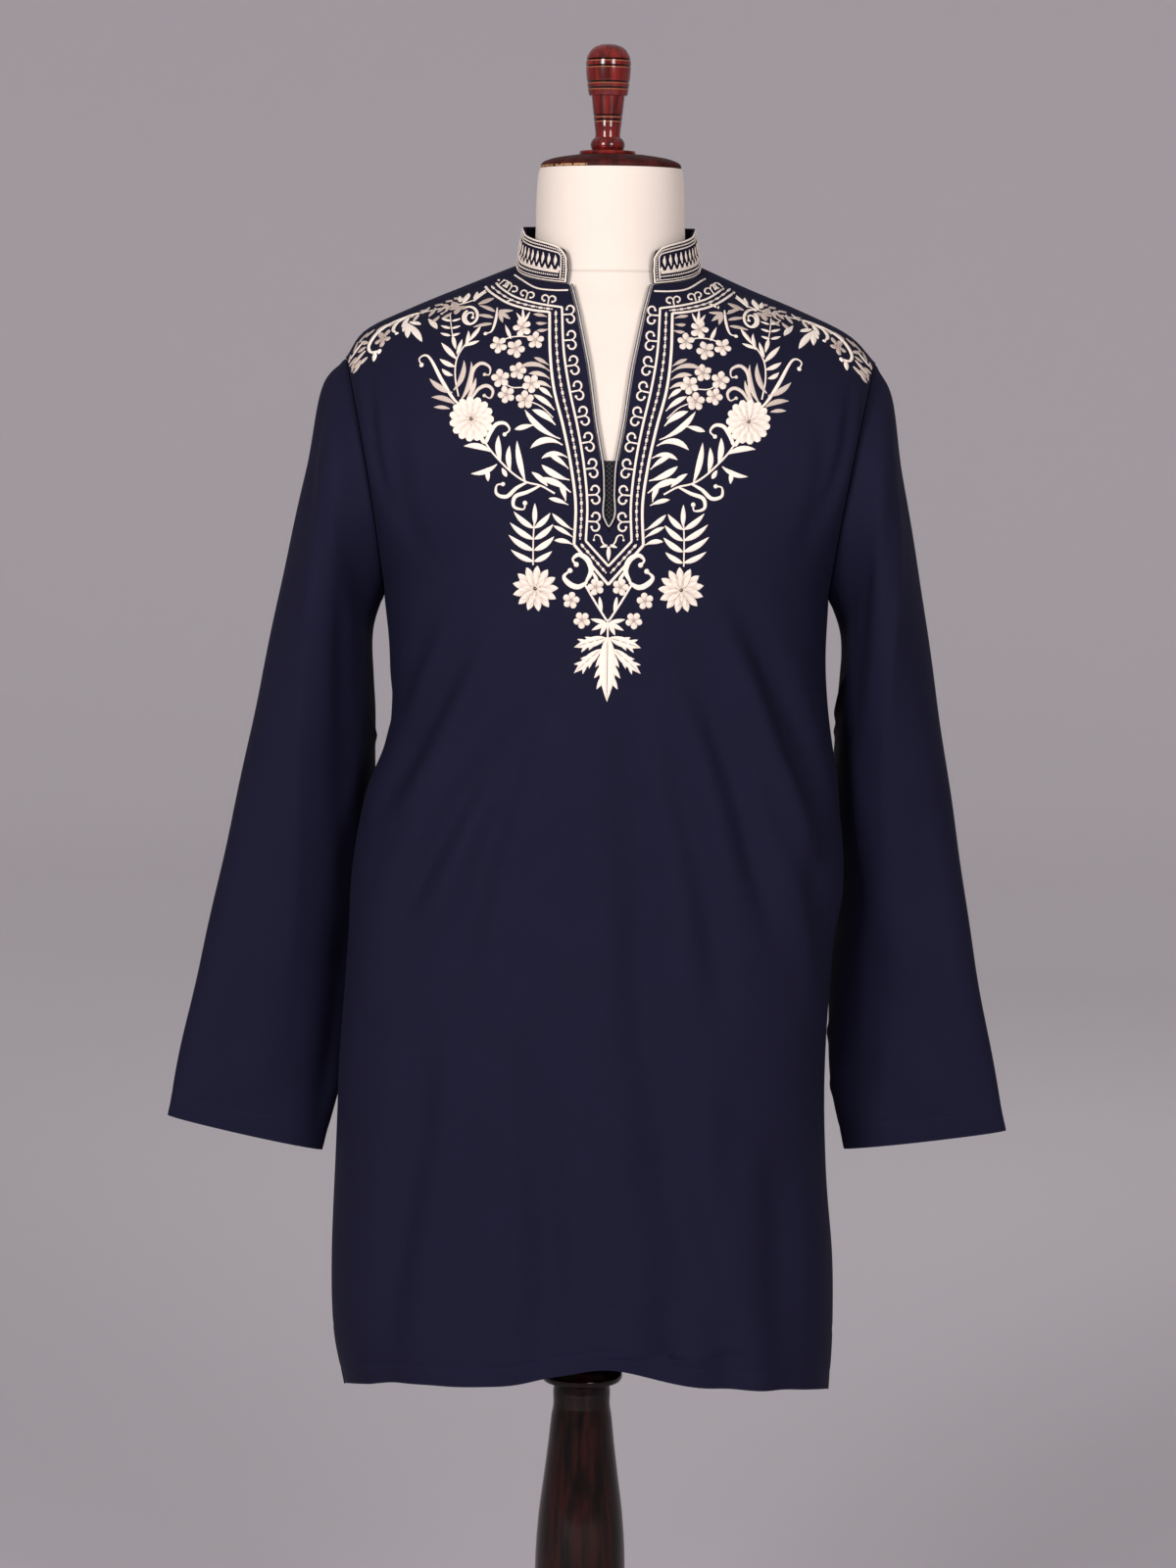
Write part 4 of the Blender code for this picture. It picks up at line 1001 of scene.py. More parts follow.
# a row for each level of the body: left and right x, the edge's y and z, and the ease in front and behind
# in millimetres, then the turn in degrees
formRows = (
    (-59, 84.5, -16.5, 1426.2, 4.2, 3.6, 76),
    (-103.5, 125.5, -16, 1411.8, 4.4, 3.6, 80),
    (-148, 171, -13, 1394.3, 4.6, 3.6, 83),
    (-186, 208, -9, 1376, 4.6, 3.8, 85),
    (-197.5, 223, -4, 1348, 4.6, 4.5, 88),
    (-190, 216, -3, 1308, 4.6, 5.5, 90),
    (-180, 207.5, -3, 1263, 4.6, 7, 90),
    (-169, 197, -3, 1213, 5, 9, 90),
    (-156, 185, -3, 1165, 7, 12, 90),
    (-145, 174, -3, 1105, 12, 18, 90),
    (-139, 165, -3, 1042, 18, 24, 90),
    (-140, 163, -3, 990, 22, 25, 90),
    (-146, 166, -3, 932, 23, 22, 90),
    (-156, 170, -3, 870, 22, 19, 90),
    (-164, 170, -3, 770, 24, 20, 90),
)
# height and radius of the neck's rings, and height and scale of the rings below the hips
formLook = {
    "around": 96, "between": 4, "rings": 18, "bottom": 0.660, "neckCentre": (0.01375, -0.004),
    "neck": ((1.5165, 0.0590), (1.5100, 0.0606), (1.4900, 0.0618), (1.4650, 0.0622), (1.4480, 0.0630),
             (1.4370, 0.0646)),
    "base": ((0.715, 1.0), (0.680, 0.985), (0.664, 0.955), (0.660, 0.93)),
}
formColumns = np.array(formRows, float).T * np.array([0.001] * 6 + [1.0])[:, None]


def formRing(level, count):
    leftX, rightX, edgeY, edgeZ, frontEase, backEase, turn = (
        float(smoothRead(column, np.array(level))) for column in formColumns)
    index = np.arange(count)
    quarter = count // 4
    inFront = (index <= quarter) | (index >= 3 * quarter)
    share = np.abs((index + quarter) % (2 * quarter) - quarter) / quarter
    turned = np.where(inFront, math.radians(turn), math.pi - math.radians(turn))
    here = np.array(float(level))
    square = np.where(inFront, bodyRead("square", here), cut["backSquare"])
    across, back = roundShare(share * turned, turned, square)
    endX = np.where(index <= 2 * quarter, rightX, leftX)
    middleX = bodyRead("middleX", here)
    frontY, frontZ, backY, backZ = (bodyRead(name, here) for name in ("frontY", "frontZ", "backY", "backZ"))
    middleY = np.where(inFront, frontY + frontEase, backY - backEase)
    middleZ = np.where(inFront, frontZ - 0.6 * frontEase, backZ - 0.6 * backEase)
    return np.stack([middleX + (endX - middleX) * across, middleY + (edgeY - middleY) * back,
                     middleZ + (edgeZ - middleZ) * np.maximum(back, 0.0) ** risePower(here)], axis=-1)


def buildForm():
    count = formLook["around"]
    angle = 2.0 * math.pi * np.arange(count) / count
    x, y = formLook["neckCentre"]
    rings = []
    for height, radius in formLook["neck"]:
        ring = (x + radius * np.sin(angle), y - radius * np.cos(angle), np.full(count, height))
        rings.append(np.stack(ring, axis=-1))
    rings += [formRing(level, count) for level in np.linspace(0.0, slitLevel, formLook["rings"])]
    last = rings[-1]
    middle = last.mean(axis=0)
    for height, scale in formLook["base"]:
        ring = middle + (last - middle) * scale
        ring[:, 2] = height
        rings.append(ring)
    places = np.linspace(0.0, len(rings) - 1.0, (len(rings) - 1) * formLook["between"] + 1)
    fine = smoothRead(np.array(rings), places)
    fine[:, :, 2] = np.clip(fine[:, :, 2], formLook["bottom"], formLook["neck"][0][0])
    piece = gridPiece("coveredForm", np.concatenate([fine, fine[:, :1]], axis=1)[::-1])
    editMesh(piece, mergeTwins, closeHoles, faceOutward)
    return finishPiece(piece, creamCover, ["form_torso"], angle=50.0)


buildForm()
print("form covered")


# embroidery: satin shapes laid on the cloth, all sizes in millimetres

satin = {"sunk": -0.25, "shape": ((-1.0, 0.0), (-0.66, 0.74), (0.0, 1.0), (0.66, 0.74), (1.0, 0.0))}


def newWork():
    return {"centre": [], "half": [], "lift": [], "tone": [], "runs": [], "dots": []}


def satinRun(work, points, halves, lift=0.5, tone=0.1):  # one closed run of satin stitch along a line
    points = np.asarray(points, float)
    halves = np.broadcast_to(np.asarray(halves, float), (len(points),))
    start = sum(len(part) for part in work["centre"])
    work["centre"].append(points)
    work["half"].append(np.maximum(halves, 0.10))
    work["lift"].append(np.full(len(points), lift))
    work["tone"].append(np.full(len(points), tone))
    work["runs"].append((start, len(points)))


def dot(work, place, radius, lift=0.6, tone=0.05, sides=7):
    work["dots"].append((tuple(place), radius, lift, tone, sides))


def smoothPath(points, step):
    points = np.asarray(points, float)
    if len(points) == 2:
        count = max(2, int(round(np.linalg.norm(points[1] - points[0]) / step)) + 1)
        return points[0] + (points[1] - points[0]) * np.linspace(0.0, 1.0, count)[:, None]
    dense = smoothRead(points, np.linspace(0.0, len(points) - 1.0, (len(points) - 1) * 10 + 1))
    return evenPath(dense, step)


def satinLine(work, points, width, step=2.0, lift=0.45, tone=0.1, taper=(0.0, 0.0)):
    path = smoothPath(points, step)
    share = np.linspace(0.0, 1.0, len(path))
    half = np.full(len(path), width / 2.0)
    for amount, away in ((taper[0], share), (taper[1], 1.0 - share)):
        if amount > 0.0:
            half = half * np.clip(away / amount, 0.12, 1.0) ** 0.7
    satinRun(work, path, half, lift, tone)
    return path


def leaf(work, base, tip, width, bend=0.0, tone=0.1, lift=0.55, fullness=0.42, steps=9):
    base, tip = np.array(base, float), np.array(tip, float)
    run = tip - base
    aside = np.array([-run[1], run[0]])
    share = np.linspace(0.0, 1.0, steps)[:, None]
    path = base + run * share + aside * bend * 4.0 * share * (1.0 - share) * 0.5
    place = share[:, 0]
    half = width / 2.0 * np.sin(math.pi * place ** (math.log(0.5) / math.log(fullness))) ** 0.75
    half[0] = width * 0.09
    satinRun(work, path, half, lift, tone)


def veinedLeaf(work, base, tip, width, bend=0.0, tone=0.1, lift=0.6):  # two halves with a furrow between
    base, tip = np.array(base, float), np.array(tip, float)
    run = tip - base
    aside = np.array([-run[1], run[0]]) / np.linalg.norm(run)
    for sign in (-1.0, 1.0):
        share = np.linspace(0.0, 1.0, 9)
        swell = np.sin(math.pi * share ** 0.85) ** 0.9
        bow = aside * np.linalg.norm(run) * bend
        path = (base + run * share[:, None] + bow * (2.0 * share * (1.0 - share))[:, None]
                + aside * (sign * width * 0.24 * swell)[:, None])
        satinRun(work, path, width * 0.25 * swell, lift, tone)


def petalRing(work, centre, inner, outer, count, width, turn, tone, lift, pointed=False, rootShade=0.45):
    for number in range(count):
        angle = turn + 2.0 * math.pi * number / count
        way = np.array([math.cos(angle), math.sin(angle)])
        share = np.linspace(0.0, 1.0, 6)
        path = np.array(centre) + way * (inner + (outer - inner) * share[:, None])
        if pointed:
            half = width / 2.0 * np.array([0.45, 0.85, 1.0, 0.9, 0.6, 0.08])
        else:
            half = width / 2.0 * np.array([0.30, 0.68, 0.95, 1.08, 0.95, 0.45])
        # painted shade: each petal is darker towards its root, between the layers
        satinRun(work, path, half, lift, tone + rootShade * (1.0 - share) ** 1.5)


def blossom(work, centre, radius, turn=0.3, tone=0.12):
    petalRing(work, centre, radius * 0.16, radius, 5, radius * 0.80, turn, tone, 0.8)
    dot(work, centre, radius * 0.20, 1.1, 0.9)
    for number in range(5):
        angle = turn + 2.0 * math.pi * (number + 0.5) / 5.0
        dot(work, (centre[0] + radius * 0.36 * math.cos(angle), centre[1] + radius * 0.36 * math.sin(angle)),
            radius * 0.09, 1.0, 0.85, 5)


# rings of a rosette: inner and outer radius, petals fewer, width, turn, tone, lift and the painted shade at
# the petals' root
rosetteRings = (
    (0.45, 1.0, 0, 0.36, 0.2, 0.0, 0.7, 0.75), (0.25, 0.78, 2, 0.30, 0.45, 0.0, 1.15, 0.6),
    (0.08, 0.53, 5, 0.24, 0.1, 0.04, 1.6, 0.5),
)


def rosette(work, centre, radius, pointed, tone=0.0):
    count = 13 if pointed else 15
    for inner, outer, fewer, width, turn, darker, lift, rootShade in rosetteRings:
        wide = width if pointed or fewer else 0.40
        petalRing(work, centre, radius * inner, radius * outer, count - fewer, radius * wide, turn,
                  tone + darker, lift, pointed, rootShade)
    for number in range(16):  # seed stitches in the middle
        angle = 2.4 * number
        far = radius * 0.075 * math.sqrt(number)
        dot(work, (centre[0] + far * math.cos(angle), centre[1] + far * math.sin(angle)), 0.75, 2.15,
            0.55 if number % 3 else 0.9, 5)


def ballCurl(work, points, width, ball, tone=0.1, lift=0.55):
    path = smoothPath(points, 1.7)
    share = np.linspace(0.0, 1.0, len(path))
    half = width / 2.0 * (0.55 + 0.75 * np.sin(math.pi * np.minimum(1.0, share * 1.15)) ** 0.8)
    satinRun(work, path, half, lift, tone)
    if ball:
        dot(work, points[-1], ball, lift + 0.15, tone)


def chain(work, outer, inner, pitch=6.4, width=3.0, tone=0.25):  # beads and lozenges between two lines
    lines = [smoothPath(line, runLength(np.asarray(line, float))[-1] / 40) for line in (outer, inner)]
    size = min(len(line) for line in lines)
    first, second = (line[np.linspace(0, len(line) - 1, size).round().astype(int)] for line in lines)
    middle = evenPath((first + second) / 2.0, pitch / 2.0)
    for place in range(1, len(middle) - 1):
        if place % 2:
            way = unit(middle[place + 1] - middle[place])
            ends = middle[place] + way * np.array([-0.36, -0.15, 0.15, 0.36])[:, None] * pitch
            satinRun(work, ends, width / 2.0 * np.array([0.1, 0.85, 0.85, 0.1]), 0.5, tone)
        else:
            dot(work, middle[place], width * 0.30, 0.45, tone, 5)


def scrollUnit(work, root, inward, along, size, tone=0.1):  # a stub with a ball-ended curl on each side
    root, inward, along = (np.array(value, float) for value in (root, inward, along))
    tipPoint = root + inward * size * 0.42
    satinLine(work, [root, tipPoint], 1.6, 1.5, 0.45, tone)
    for sign in (-1.0, 1.0):
        centre = tipPoint + along * sign * size * 0.34 + inward * size * 0.02
        angle = np.linspace(-0.5 * math.pi, 0.98 * math.pi, 10)
        reach = size * np.linspace(0.34, 0.20, 10)
        path = (centre + inward * (reach * np.cos(angle))[:, None]
                + along * sign * (reach * np.sin(angle))[:, None])
        half = 0.6 + 0.38 * np.sin(math.pi * np.linspace(0.0, 1.0, 10))
        satinRun(work, path, half, 0.5, tone)
        dot(work, path[-1], 1.35, 0.6, tone, 6)


def addRun(build, here, up, half, lift, tone):  # a closed strip of satin, five points to each row
    verts, faces, uvs, tones = build
    run = unit(np.gradient(here, axis=0))
    side = unit(np.cross(up, run))
    length = runLength(here)
    base, count = len(verts), len(here)
    for row in range(count):
        width, high = half[row] / 1000.0, lift[row] / 1000.0
        for across, share in satin["shape"]:
            rise = high * share if share > 0.0 else satin["sunk"] / 1000.0
            verts.append(here[row] + side[row] * width * across + up[row] * rise)
            uvs.append((length[row] * 10.0, width * across * 10.0))
            tones.append(tone[row])
    for row in range(count - 1):
        low, high = base + row * 5, base + (row + 1) * 5
        for column in range(4):
            faces.append((low + column, high + column, high + column + 1, low + column + 1))
        faces.append((low + 4, high + 4, high, low))
    faces.append(tuple(base + column for column in range(5)))
    last = base + (count - 1) * 5
    faces.append(tuple(last + column for column in range(4, -1, -1)))


def addDot(build, here, up, radius, lift, tone, sides):  # two rings and a top
    verts, faces, uvs, tones = build
    side = np.cross(up, np.array([0.0, 0.0, 1.0]))
    if np.linalg.norm(side) < 1e-4:
        side = np.array([1.0, 0.0, 0.0])
    side = unit(side)
    above = np.cross(side, up)
    base = len(verts)
    for share, rise in ((1.0, satin["sunk"]), (0.72, lift * 0.72)):
        reach = radius * share
        for number in range(sides):
            angle = 2.0 * math.pi * number / sides
            way = side * math.cos(angle) + above * math.sin(angle)
            verts.append(here + way * reach / 1000.0 + up * rise / 1000.0)
            uvs.append((reach * math.cos(angle) / 100.0, reach * math.sin(angle) / 100.0))
            tones.append(tone)
    verts.append(here + up * lift / 1000.0)
    uvs.append((0.0, 0.0))
    tones.append(tone)
    for number in range(sides):
        following = (number + 1) % sides
        faces.append((base + number, base + following, base + sides + following, base + sides + number))
        faces.append((base + sides + number, base + sides + following, base + 2 * sides))
    faces.append(tuple(base + number for number in range(sides - 1, -1, -1)))


# lays the flat design on the cloth; place turns flat points into positions and normals
def layWork(work, place, name, material=satinThread):
    half, lift, tone = (np.concatenate(work[key]) for key in ("half", "lift", "tone"))
    spot, normal = place(np.concatenate(work["centre"]))
    build = verts, faces, uvs, tones = [], [], [], []
    for start, count in work["runs"]:
        rows = slice(start, start + count)
        addRun(build, spot[rows], normal[rows], half[rows], lift[rows], tone[rows])
    if work["dots"]:
        spot, normal = place(np.array([entry[0] for entry in work["dots"]], float))
        for entry, here, up in zip(work["dots"], spot, normal):
            addDot(build, here, up, *entry[1:])
    mesh = bpy.data.meshes.new(name)
    mesh.from_pydata([tuple(map(float, vert)) for vert in verts], [], faces)
    setUv(mesh, mesh.uv_layers.new(name="UVMap"), np.array(uvs, float))
    mesh.attributes.new("tone", "FLOAT", "POINT").data.foreach_set("value", np.array(tones, float))
    piece = addObject(name, mesh)
    editMesh(piece, faceOutward)
    finishPiece(piece, material, angle=60.0)
    print(name, len(mesh.polygons))
    return piece


def placeOnFront(side):  # across from the slit's middle, and height
    def place(points):
        spot, normal = np.zeros((len(points), 3)), np.zeros((len(points), 3))
        for number, (across, height) in enumerate(points):
            x, z = cut["slitMiddle"] + sideSign(side) * across / 1000.0, height / 1000.0
            found = frontTree.ray_cast(Vector((x, -1.0, z)), Vector((0.0, 1.0, 0.0)))
            if found[0] is None:
                found = frontTree.find_nearest(Vector((x, -0.08, z)))
            spot[number], normal[number] = found[0], found[1]
        return spot, normal
    return place


def placeUnderSeam(side):  # across from the slit's middle, and down from the shoulder seam as seen
    seam = edgePoint(side, "front", np.linspace(0.0, tipLevel, 41))
    across, height = sideSign(side) * (seam[:, 0] - cut["slitMiddle"]) * 1000.0, seam[:, 2] * 1000.0
    onFront = placeOnFront(side)

    def place(points):
        flat = points.copy()
        flat[:, 1] = np.interp(points[:, 0], across, height) - points[:, 1] - 1.0
        return onFront(flat)
    return place


def placeOnCollar(points):  # along the neckline from the right front end, and up
    share, height = points[:, 0] / collarLength, points[:, 1] / 1000.0 / collarCut["height"]
    before, after = np.maximum(share - 0.002, 0.0), np.minimum(share + 0.002, 1.0)
    across = collarPoint(after, height) - collarPoint(before, height)
    up = collarPoint(share, height + 0.02) - collarPoint(share, height - 0.02)
    return collarPoint(share, height), unit(np.cross(across, up))


collarLength = float(runLength(collarPoint(np.linspace(0.0, 1.0, 400), 0.5))[-1] * 1000.0)

# the border round the slit, as pairs of an outer and an inner line
borderLines = {
    "neck": (((104, 1418), (99, 1413), (84, 1404), (66, 1399), (50, 1397)),
             ((95, 1421), (91, 1417), (78, 1409), (60, 1404), (40, 1401))),
    "slit": (((50, 1397), (49, 1364), (45.5, 1335), (37.5, 1304), (31, 1273), (27, 1242), (28, 1210)),
             ((40, 1401), (38, 1366), (33, 1335), (26, 1304), (20.5, 1273), (17.6, 1242), (18.5, 1213))),
    "point": (((28, 1210), (0, 1178)), ((18.5, 1213), (0, 1193))),
}
neckTopLine = ((35, 1415), (48, 1415), (62, 1417), (74, 1424), (80, 1428))

# leaves that comb out from the border: base and tip (across, height), width, bend and tone
combLeaves = (
    ((52, 1393), (63, 1395), 3.6, 0.1, 0.85), ((52, 1388), (61, 1388), 3.4, -0.08, 0.9),
    ((51, 1383), (60, 1382), 3.4, -0.1, 0.8), ((50, 1354), (62, 1360), 3.6, 0.1, 0.8),
    ((49, 1349), (74, 1352), 4.4, 0.34, 0.75), ((49, 1343), (66, 1347), 4.2, 0.24, 0.6),
    ((48, 1336), (62, 1340), 4, 0.2, 0.45), ((47, 1328), (58, 1336), 4.2, 0.12, 0.1),
    ((45, 1318), (62, 1330), 4.6, 0.12, 0.1), ((44, 1306), (63, 1318), 5.6, 0.16, 0),
    ((40, 1295), (69, 1318), 5.2, -0.18, 0), ((38, 1290), (64, 1287), 5.6, 0.42, 0),
    ((61, 1306), (77, 1302), 4.6, 0.05, 0.05), ((34, 1280), (55, 1279), 4.4, 0.35, 0),
    ((33, 1271), (50, 1283), 4.4, 0.1, 0), ((32, 1262), (55, 1274), 5.6, -0.14, 0),
    ((31, 1252), (57, 1263), 5.6, 0.16, 0), ((35, 1245), (40, 1259), 4.6, 0.1, 0),
    ((33, 1242), (49, 1247), 4, 0.1, 0), ((29, 1222), (46, 1235), 4.2, -0.1, 0),
    ((29, 1216), (45, 1225), 3.8, 0.05, 0), ((29, 1210), (44, 1213), 4.2, 0.18, 0),
)
# the spray round the upper flower
sprayLeaves = (
    ((127, 1333), (119, 1357), 5.4, 0.22, 0.7), ((121, 1325), (113, 1356), 5.2, 0.2, 0.6),
    ((116, 1326), (109, 1343), 4.2, 0.12, 0.5), ((128, 1331), (147, 1342), 5.4, -0.16, 0.7),
    ((126, 1322), (145, 1327), 5, 0.18, 0.8), ((130, 1318), (143, 1319), 3.6, 0.1, 0.7),
    ((125, 1358), (138, 1371), 4.8, 0, 0.1), ((126, 1352), (139, 1358), 4.4, -0.1, 0.1),
    ((125, 1362), (121, 1374), 4, 0, 0.1), ((119, 1369), (107, 1373), 4, 0, 0.1),
    ((115, 1373), (106, 1385), 4.6, 0, 0.1), ((118, 1368), (116, 1381), 4, 0.1, 0.1),
    ((128, 1345), (137, 1350), 4.2, -0.2, 0.15),
)
# leaves of the drooping branch below it, and of the upright sprig over the lower flower
branchLeaves = (
    ((96, 1284), (118, 1288), 5.6, 0.2, 0), ((91, 1274), (112, 1266), 4.8, -0.2, 0),
    ((99, 1271), (98, 1260), 4.4, 0, 0), ((88, 1276), (90, 1297), 5.6, -0.1, 0),
    ((80, 1269), (81, 1289), 5.2, -0.12, 0), ((68, 1261), (75, 1293), 5.6, -0.08, 0),
    ((50, 1257), (63, 1268), 5, 0.1, 0),
)
sprigStem = ((60, 1234), (61, 1214), (61, 1193))
sprigLeaves = (
    (1223, 16, 13, 5.2), (1214, 19, 13, 5.4), (1205, 20, 12, 5.6), (1196, 18, 9, 5.0),
)
flowerHeads = {
    "upper": ((72, 1384), (61, 1374), (77, 1367), (91, 1370), (89, 1343), (75, 1349), (64, 1339), (84, 1330),
              (69, 1326)),
    "lower": ((10, 1176), (30, 1165), (21, 1149)),
}


def sewChest(side):
    work = newWork()
    for outer, inner in borderLines.values():
        satinLine(work, outer, 2.6, 3.0, 0.55, 0.08)
        satinLine(work, inner, 2.2, 3.0, 0.55, 0.08)
        chain(work, outer, inner)
    satinLine(work, neckTopLine, 1.9, 2.5, 0.5, 0.15)
    slitInner = np.array(borderLines["slit"][1], float)
    path = smoothPath(slitInner, 1.0)
    for number in range(9):  # scrolls between the border and the slit
        spot = min(int(6 + 21.0 * number), len(path) - 3)
        place = path[spot]
        along = unit(path[spot + 2] - place)
        inward = np.array([along[1], -along[0]])
        if inward[0] > 0.0:
            inward = -inward
        edge = np.interp(place[1] / 1000.0, cut["slitHeights"], cut["slitHalves"]) * 1000.0
        size = min(12.6, max(9.5, 1.18 * (place[0] - edge - 1.4)))
        scrollUnit(work, place + inward, inward, along, size, 0.12)
    for number in range(4):  # and under the collar
        share = (number + 0.6) / 4.2
        inner = np.array(borderLines["neck"][1], float)
        place = smoothRead(inner, np.array(share * (len(inner) - 1)))
        ahead = smoothRead(inner, np.array(min(share + 0.02, 1.0) * (len(inner) - 1)))
        along = unit(ahead - place)
        inward = np.array([along[1], -along[0]])
        if inward[1] < 0.0:
            inward = -inward
        scrollUnit(work, place + inward, inward, along, 9.5, 0.2)
    for base, tip, width, bend, tone in combLeaves:
        leaf(work, base, tip, width * 1.06, bend, tone, fullness=0.60)
    for base, tip, width, bend, tone in sprayLeaves + branchLeaves:
        leaf(work, base, tip, width, bend, tone, fullness=0.50)
    satinLine(work, ((93, 1371), (82, 1376), (70, 1377), (62, 1374)), 1.3, 2.0, 0.4, 0.15)
    satinLine(work, ((88, 1341), (80, 1336), (70, 1336)), 1.2, 2.0, 0.4, 0.15)
    satinLine(work, ((69, 1326), (56, 1321), (46, 1312)), 1.2, 2.0, 0.4, 0.1)
    for tip in ((66, 1397), (72, 1400), (77, 1396)):
        leaf(work, (71, 1388), tip, 3.0, 0.0, 0.1)
    leaf(work, (81, 1375), (86, 1386), 3.6, 0.0, 0.1)
    for number, place in enumerate(flowerHeads["upper"]):
        blossom(work, place, 6.9 if number % 2 else 7.4, 0.35 * number, 0.1 + 0.06 * (number % 3))
    rosette(work, (112, 1310), 18.0, False)
    ballCurl(work, ((120, 1320), (127, 1326), (137, 1341), (146, 1357), (151, 1361), (156, 1358),
                    (154, 1353)), 2.6, 2.2, 0.05)
    ballCurl(work, ((112, 1327), (113, 1340), (111, 1350), (105, 1355), (98, 1352), (98, 1346), (102, 1346)),
             2.8, 1.7, 0.45)
    ballCurl(work, ((113, 1325), (107, 1334), (100, 1337), (95, 1333), (97, 1327), (102, 1329)),
             2.6, 1.7, 0.45)
    satinLine(work, ((123, 1328), (126, 1344), (125, 1358), (119, 1369), (107, 1382)),
              1.5, 2.0, 0.4, 0.1, (0.0, 0.3))
    ballCurl(work, ((106, 1297), (101, 1291), (97, 1299), (92, 1306), (85, 1307), (81, 1302), (85, 1298)),
             3.0, 2.0, 0.0)
    satinLine(work, ((106, 1300), (97, 1286), (87, 1275), (77, 1266), (67, 1260), (55, 1257), (44, 1251)),
              1.8, 2.2, 0.45, 0.05)
    ballCurl(work, ((66, 1260), (75, 1255), (83, 1248), (91, 1250), (91, 1257), (86, 1258)), 2.8, 2.0, 0.0)
    ballCurl(work, ((56, 1257), (66, 1252), (76, 1248), (77, 1240), (69, 1238), (68, 1243)), 2.8, 2.2, 0.0)
    leaf(work, (83, 1264), (87, 1271), 4.2, 0.0, 0.0)
    satinLine(work, sprigStem, 1.4, 2.5, 0.45, 0.05)
    leaf(work, (60, 1226), (60, 1243), 4.6, 0.0, 0.0)
    for height, reach, rise, width in sprigLeaves:
        leaf(work, (61, height), (61 + reach, height + rise), width, -0.12, 0.0)
        leaf(work, (60, height), (61 - reach * 0.84, height + rise * 0.95), width, 0.12, 0.0)
    rosette(work, (59, 1174), 18.5, True)
    ballCurl(work, ((18, 1180), (14, 1189), (17, 1198), (24, 1202), (29, 1198), (26, 1194)), 3.9, 2.4, 0.0)
    ballCurl(work, ((17, 1180), (24, 1176), (31, 1178), (36, 1184), (31, 1189)), 3.9, 2.4, 0.0)
    satinLine(work, ((19, 1178), (10, 1163), (1, 1149)), 2.0, 2.2, 0.5, 0.05)
    for number, place in enumerate(flowerHeads["lower"]):
        blossom(work, place, 6.8, 0.5 * number, 0.08)
    leaf(work, (8, 1180), (14, 1190), 3.2, 0.0, 0.0)
    leaf(work, (7, 1168), (5, 1154), 3.6, 0.0, 0.0)
    for tip in ((14, 1150), (13, 1141), (6, 1137)):
        leaf(work, (1, 1147), tip, 4.2, 0.0, 0.05)
    for base, tip, width in (((1, 1135), (27, 1127), 9.0), ((5, 1126), (27, 1106), 8.5)):
        veinedLeaf(work, base, tip, width, 0.0, 0.02, 0.7)
        run = np.array(tip, float) - np.array(base, float)
        aside = unit(np.array([-run[1], run[0]]))
        for share in (0.45, 0.68):
            for sign in (-1.0, 1.0):
                start = np.array(base) + run * (share - 0.12)
                end = np.array(base) + run * (share + 0.16) + aside * sign * width * 0.62
                leaf(work, start, end, 3.4, 0.0, 0.02, 0.62)
    ballCurl(work, ((1, 1208), (5, 1212), (7, 1217), (11, 1218), (12, 1214)), 1.3, 1.1, 0.1)
    leaf(work, (1, 1210), (7, 1208), 2.8, 0.0, 0.1)
    # on the upper chest, below the shoulder
    ballCurl(work, ((93, 1400), (94, 1390), (97, 1381), (102, 1379)), 2.2, 2.0, 0.1)
    for tip in ((80, 1398), (82, 1391), (88, 1388)):
        leaf(work, (91, 1398), tip, 4.4, 0.05, 0.75)
    for base, tip in (((95, 1397), (108, 1402)), ((96, 1392), (110, 1394)), ((97, 1387), (112, 1384))):
        leaf(work, base, tip, 4.4, 0.1, 0.85)
    drop = [(116 + 7.4 * math.sin(turn) * (0.55 + 0.25 * turn / math.pi),
             1393 + 8.0 * math.cos(turn) * (0.6 + 0.2 * turn / math.pi))
            for turn in np.linspace(0.4, 2.0 * math.pi + 0.5, 14)]
    satinLine(work, drop, 2.9, 1.8, 0.6, 0.05)
    ballCurl(work, ((114, 1386), (119, 1390), (118, 1395), (113, 1396), (113, 1392)), 2.6, 1.8, 0.05)
    satinLine(work, ((132, 1394), (130, 1382), (127, 1370)), 1.1, 2.0, 0.4, 0.1)
    for height in (1391, 1385, 1379):
        leaf(work, (131, height - 2), (139, height), 3.4, 0.0, 0.1)
        leaf(work, (130, height - 2), (123, height), 3.4, 0.0, 0.1)
    leaf(work, (129, 1377), (126, 1366), 4.0, 0.0, 0.1)
    return layWork(work, placeOnFront(side), "chestStitching" + side.capitalize())


